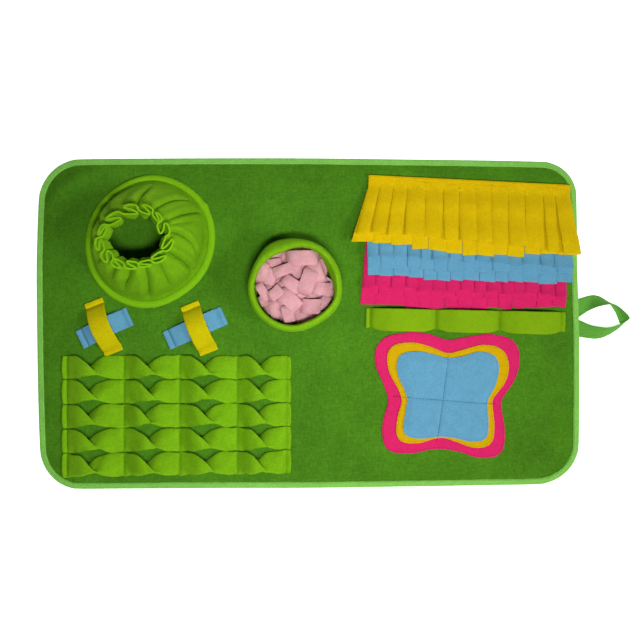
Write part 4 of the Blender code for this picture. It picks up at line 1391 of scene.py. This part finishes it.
def fringe_strand(row, layer, left, right, lengths, top_layer, chance, number):
    """One strand with its share of the header. Neighbours share the header's edge and part below it."""
    start, end = Vector((*FRINGE_LEFT, 0)), Vector((*FRINGE_RIGHT, 0))
    along = (end - start).normalized()
    down = Vector((along.y, -along.x, 0))
    span = (end - start).length
    middle = (left + right) / 2
    lean = fringe_lean(row, middle)
    manner = FRINGE_SHOWN if top_layer else FRINGE_COVERED
    length = along_table(lengths, middle) + chance.uniform(-2.2, 2.2)
    sway = chance.uniform(-manner["sway"], manner["sway"])
    tilt = chance.choice((-1, 1)) * chance.uniform(*manner["tilt"])
    gap = chance.choice(FRINGE_GAPS) * (1.0 if row == 0 else 0.8) if top_layer else 0.0
    curl = chance.uniform(*manner["curl"])
    slant = chance.uniform(-0.10, 0.10)
    header = FRINGE_HEADER[-1]
    last = len(FRINGE_HEADER) - 1
    rows = last + FRINGE_STRAND_ROWS

    def place(u, v):
        i = round(v * rows)
        free = max(i - last, 0) / FRINGE_STRAND_ROWS
        tip = (u - 0.5) * (right - left) * span
        drop = FRINGE_HEADER[i] if i <= last else between(header, length + slant * tip * free, free)
        spot = between(left, right, u) * span
        if i > last:
            fanned = between(fringe_lean(row, between(left, right, u)), lean, manner["own_lean"])
            half = (right - left) * span / 2
            cut = manner["cut"] + gap * free
            centre = middle * span
            spot = centre + (spot - centre) * (half - cut) / half
            spot += fanned * (drop - header) + sway * free * free
        height = layer * FRINGE_LAYER + fringe_height(row, drop) + 0.1
        bare = free if row == 0 else max(0.0, free - 0.6) / 0.4
        height += curl * bare ** 2.5 + max(0.0, tilt * (2 * u - 1)) * ease(0.0, 0.5, bare)
        height += 0.5 * (1 - (2 * u - 1) ** 2) * free
        if top_layer:
            height += FRINGE_CROWN * (1 - (2 * u - 1) ** 4) * ease(0.0, 0.3, bare)
        else:
            height += FRINGE_STAGGER * (number % 2) * ease(0.0, 0.4, free)
        if top_layer and row == 0:
            height += FRINGE_HEM_RISE * (1 - ease(FRINGE_HEM - 0.6, FRINGE_HEM + 0.5, drop))
            height -= 0.8 * (1 - ease(0.0, 1.2, drop))
        place_on = start + along * spot + down * (FRINGE_ROWS[row][1] + drop)
        flat = on_mat(place_on.x, place_on.y, height)
        flat.z += FRINGE_FELT / 2
        return flat

    size = ((right - left) * span * MM, length * MM)
    return cloth_grid("strand", 4, rows, place, size)


class SNUFFLE_OT_fringe(bpy.types.Operator):
    """Make the rows of cut felt fringe, each of two or three layers that hang over the row below"""

    bl_idname = "snuffle.fringe"
    bl_label = "Fringe"

    def execute(self, context):
        start, end = on_mat(*FRINGE_LEFT), on_mat(*FRINGE_RIGHT)
        along = (end - start).normalized()
        down = Vector((along.y, -along.x, 0))
        for row, (kind, _, _, _, layers) in enumerate(FRINGE_ROWS):
            material = felt_material("pressed_felt_" + kind, getattr(context.scene.mat_colours, kind))
            for layer, lengths in enumerate(layers):
                chance = random.Random(100 * row + 10 * layer + context.scene.mat_sizes.seed)
                marks = strand_marks(row, layer, chance)
                top_layer = layer == len(layers) - 1
                strands = []
                for number, (left, right) in enumerate(zip(marks, marks[1:])):
                    strands.append(fringe_strand(row, layer, left, right, lengths, top_layer, chance, number))
                piece = join("%s_fringe_%d" % (kind, layer + 1), strands)
                close_seams(piece)
                thicken(piece, FRINGE_FELT, edge=0.35 * MM)
                node = "fringe_%s_%d" % (kind, layer + 1)
                size = (sum(lengths) / 3 * MM, (end - start).length)
                finish_piece(piece, material, node, kind + "_felt", size)
            if row == 0:
                level = ((len(layers) - 1) * FRINGE_LAYER + THREAD_LIFT) * MM + FRINGE_FELT
                seam = [point + down * FRINGE_HEM * MM + Vector((0, 0, level)) for point in (start, end)]
                sew(kind + "_fringe_stitches", [seam], kind)
        return {"FINISHED"}


# ---------------------------------------------------------------- patch

def encloses(outline, centre, spot):
    """Whether a closed outline round a centre holds a spot, all at one level."""
    off = (spot - centre).xy
    if off.length < MM:
        return True
    nearest = max(outline, key=lambda point: (point - centre).xy.normalized().dot(off.normalized()))
    return off.length < (nearest - centre).xy.length


def seam_distance(place, seam):
    """The distance of a place from one of the patch's seams, in mm."""
    start, end = (on_mat(*spot) for spot in seam)
    along = (end - start).normalized()
    off = place - start
    return abs(off.x * along.y - off.y * along.x) / MM


class SNUFFLE_OT_patch(bpy.types.Operator):
    """Make the four-lobed patch of three felts, the top one quilted by two crossing seams"""

    bl_idname = "snuffle.patch"
    bl_label = "Lobed patch"

    def execute(self, context):
        sizes = context.scene.mat_sizes
        stitches, outlines = [], {}
        ends = [end for seam in PATCH_SEAMS for end in seam]
        centre = on_mat(*(sum(end[axis] for end in ends) / len(ends) for axis in (0, 1)))
        for kind, dye, below, columns, rows in PATCH_LAYERS:
            node = "applique_" + kind
            low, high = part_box(node)
            outline = even_points(node_outline(node, low.z), columns, closed=True)
            outlines[low.z + sizes.felt] = outline
            level = low.z + sizes.felt / 2
            puffed = sizes.quilting if kind == "blue" else 0.0

            def place(u, v):
                rim = outline[round(u * columns) % columns]
                share = 1 - (1 - v) ** 1.25
                spot = centre.lerp(rim, share)
                rise = 0.0
                if puffed:
                    near = min(seam_distance(spot, seam) for seam in PATCH_SEAMS)
                    rise = puffed * (1 - math.exp(-near / PATCH_PUFF_REACH)) * (1 - ease(0.80, 1.0, share))
                    rise += 0.3 * MM * noise.noise(spot / 0.02) * (1 - ease(0.9, 1.0, share))
                spot.z = level + rise
                return spot

            piece = cloth_grid(kind + "_patch", columns, rows, place, (1, 1))
            for loop in piece.data.loops:
                piece.data.uv_layers.active.data[loop.index].uv = piece.data.vertices[loop.vertex_index].co.xy
            close_seams(piece)
            thicken(piece, sizes.felt, edge=0.5 * MM)
            material = felt_material("pressed_felt_" + dye, getattr(context.scene.mat_colours, dye))
            extent = high - low
            flat, area = (extent.y, extent.x), enclosed_area(outline)
            finish_piece(piece, material, node, kind + "_felt", flat, area)
            height = low.z + sizes.felt + THREAD_LIFT * MM
            inner = drawn_in(outline, PATCH_STITCH_INSET)
            stitches.append((kind, dye, [Vector((point.x, point.y, height)) for point in inner]))
        for kind, dye, path in stitches:
            sew(kind + "_patch_stitches", [path], dye, closed=True)

        # each seam crosses the layers' edges, so it is sewn in stretches, each on the felt that lies on top
        seams = {}
        for seam in PATCH_SEAMS:
            start, end = (on_mat(*spot) for spot in seam)
            for step in range(PATCH_SEAM_STEPS + 1):
                spot = start.lerp(end, step / PATCH_SEAM_STEPS)
                tops = [level for level, outline in outlines.items() if encloses(outline, centre, spot)]
                if tops:
                    stretch = (seam, max(tops), step > PATCH_SEAM_STEPS / 2)
                    seams.setdefault(stretch, []).append(Vector((*spot.xy, max(tops))))
        for level, (kind, *_) in zip(sorted(outlines), PATCH_LAYERS):
            paths = [path for (_, top, _), path in seams.items() if top == level and len(path) > 1]
            # the quilting threads are drawn much darker, as painted shade in the grooves of its seams
            sew(kind + "_quilting_stitches", paths, kind, width=PATCH_SEAM_WIDTH, shade="dark")
        return {"FINISHED"}


# ---------------------------------------------------------------- stage

def add_light(name, place, size, power, colour, spread=180):
    """A soft rectangular light that looks at the mat. spread is the width of its beam in degrees."""
    lamp = bpy.data.lights.new(name, "AREA")
    lamp.shape = "RECTANGLE"
    lamp.size, lamp.size_y = size
    lamp.energy = power
    lamp.color = colour
    lamp.spread = math.radians(spread)
    light = bpy.data.objects.new(name, lamp)
    light.location = place
    light.rotation_euler = (-Vector(place)).to_track_quat("-Z", "Y").to_euler()
    bpy.context.scene.collection.objects.link(light)


class SNUFFLE_OT_stage(bpy.types.Operator):
    """Make the pale floor, the light over the mat, the one from the lower right, and the camera over it"""

    bl_idname = "snuffle.stage"
    bl_label = "Stage"

    def execute(self, context):
        bpy.ops.object.select_all(action="DESELECT")
        bpy.ops.mesh.primitive_plane_add(size=FLOOR_SIZE, location=(0, 0, -FLOOR_DROP))
        floor = context.object
        floor.name = "floor"
        paper = bpy.data.materials.new("matt_paper_white")
        paper.use_nodes = True
        shader = paper.node_tree.nodes["Principled BSDF"]
        shader.inputs["Base Color"].default_value = (*context.scene.mat_colours.floor, 1.0)
        shader.inputs["Roughness"].default_value = 0.9
        shader.inputs["Emission Color"].default_value = (1.0, 1.0, 1.0, 1.0)
        shader.inputs["Emission Strength"].default_value = FLOOR_GLOW
        floor.data.materials.append(paper)
        floor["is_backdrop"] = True

        world = bpy.data.worlds.new("soft_room")
        world.use_nodes = True
        background = world.node_tree.nodes["Background"]
        background.inputs["Color"].default_value = (1.0, 1.0, 1.0, 1.0)
        background.inputs["Strength"].default_value = ROOM_LIGHT
        context.scene.world = world
        add_light("key", (0.04, -0.22, 1.18), (0.30, 0.12), 3.85, (1.0, 1.0, 0.99), spread=110)
        add_light("side", (2.80, -0.90, 2.90), (1.0, 1.0), 60, (1.0, 0.995, 0.985))

        view = bpy.data.cameras.new("photo_view")
        view.sensor_width = SENSOR
        view.lens = SENSOR * CAMERA_PLACE[2] / (PHOTO_SIZE * PHOTO_PIXEL)
        camera = bpy.data.objects.new("photo_view", view)
        camera.location = CAMERA_PLACE
        context.scene.collection.objects.link(camera)
        context.scene.camera = camera
        context.scene.view_settings.view_transform = "Standard"
        return {"FINISHED"}


class SNUFFLE_PT_panel(bpy.types.Panel):
    """Lists the mat's pieces, sizes and colours"""

    bl_idname = "SNUFFLE_PT_panel"
    bl_label = "Snuffle mat"
    bl_space_type = "VIEW_3D"
    bl_region_type = "UI"
    bl_category = "Snuffle mat"

    def draw(self, context):
        for operator in OPERATORS:
            self.layout.operator(operator.bl_idname)
        for group in (context.scene.mat_sizes, context.scene.mat_colours):
            box = self.layout.box()
            for name in group.bl_rna.properties.keys():
                if name not in ("rna_type", "name"):
                    box.prop(group, name)


OPERATORS = (
    SNUFFLE_OT_mat,
    SNUFFLE_OT_binding,
    SNUFFLE_OT_loop,
    SNUFFLE_OT_collar,
    SNUFFLE_OT_cup,
    SNUFFLE_OT_fill,
    SNUFFLE_OT_straps,
    SNUFFLE_OT_twists,
    SNUFFLE_OT_fringe,
    SNUFFLE_OT_band,
    SNUFFLE_OT_patch,
    SNUFFLE_OT_stage,
)
CLASSES = (MatSizes, MatColours, *OPERATORS, SNUFFLE_PT_panel)


def register():
    """Add the classes, and the sizes and colours to the scene."""
    for made in CLASSES:
        bpy.utils.register_class(made)
    bpy.types.Scene.mat_sizes = PointerProperty(type=MatSizes)
    bpy.types.Scene.mat_colours = PointerProperty(type=MatColours)


def unregister():
    """Take them away again."""
    del bpy.types.Scene.mat_sizes
    del bpy.types.Scene.mat_colours
    for made in reversed(CLASSES):
        bpy.utils.unregister_class(made)


def main():
    """Make every piece and the stage."""
    register()
    for operator in OPERATORS:
        group, action = operator.bl_idname.split(".")
        getattr(getattr(bpy.ops, group), action)()
    for name, corners in (("cad", CAD_BOX), ("visual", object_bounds())):
        [[round(value, 5) for value in corner] for corner in corners]


if __name__ == "__main__":
    main()
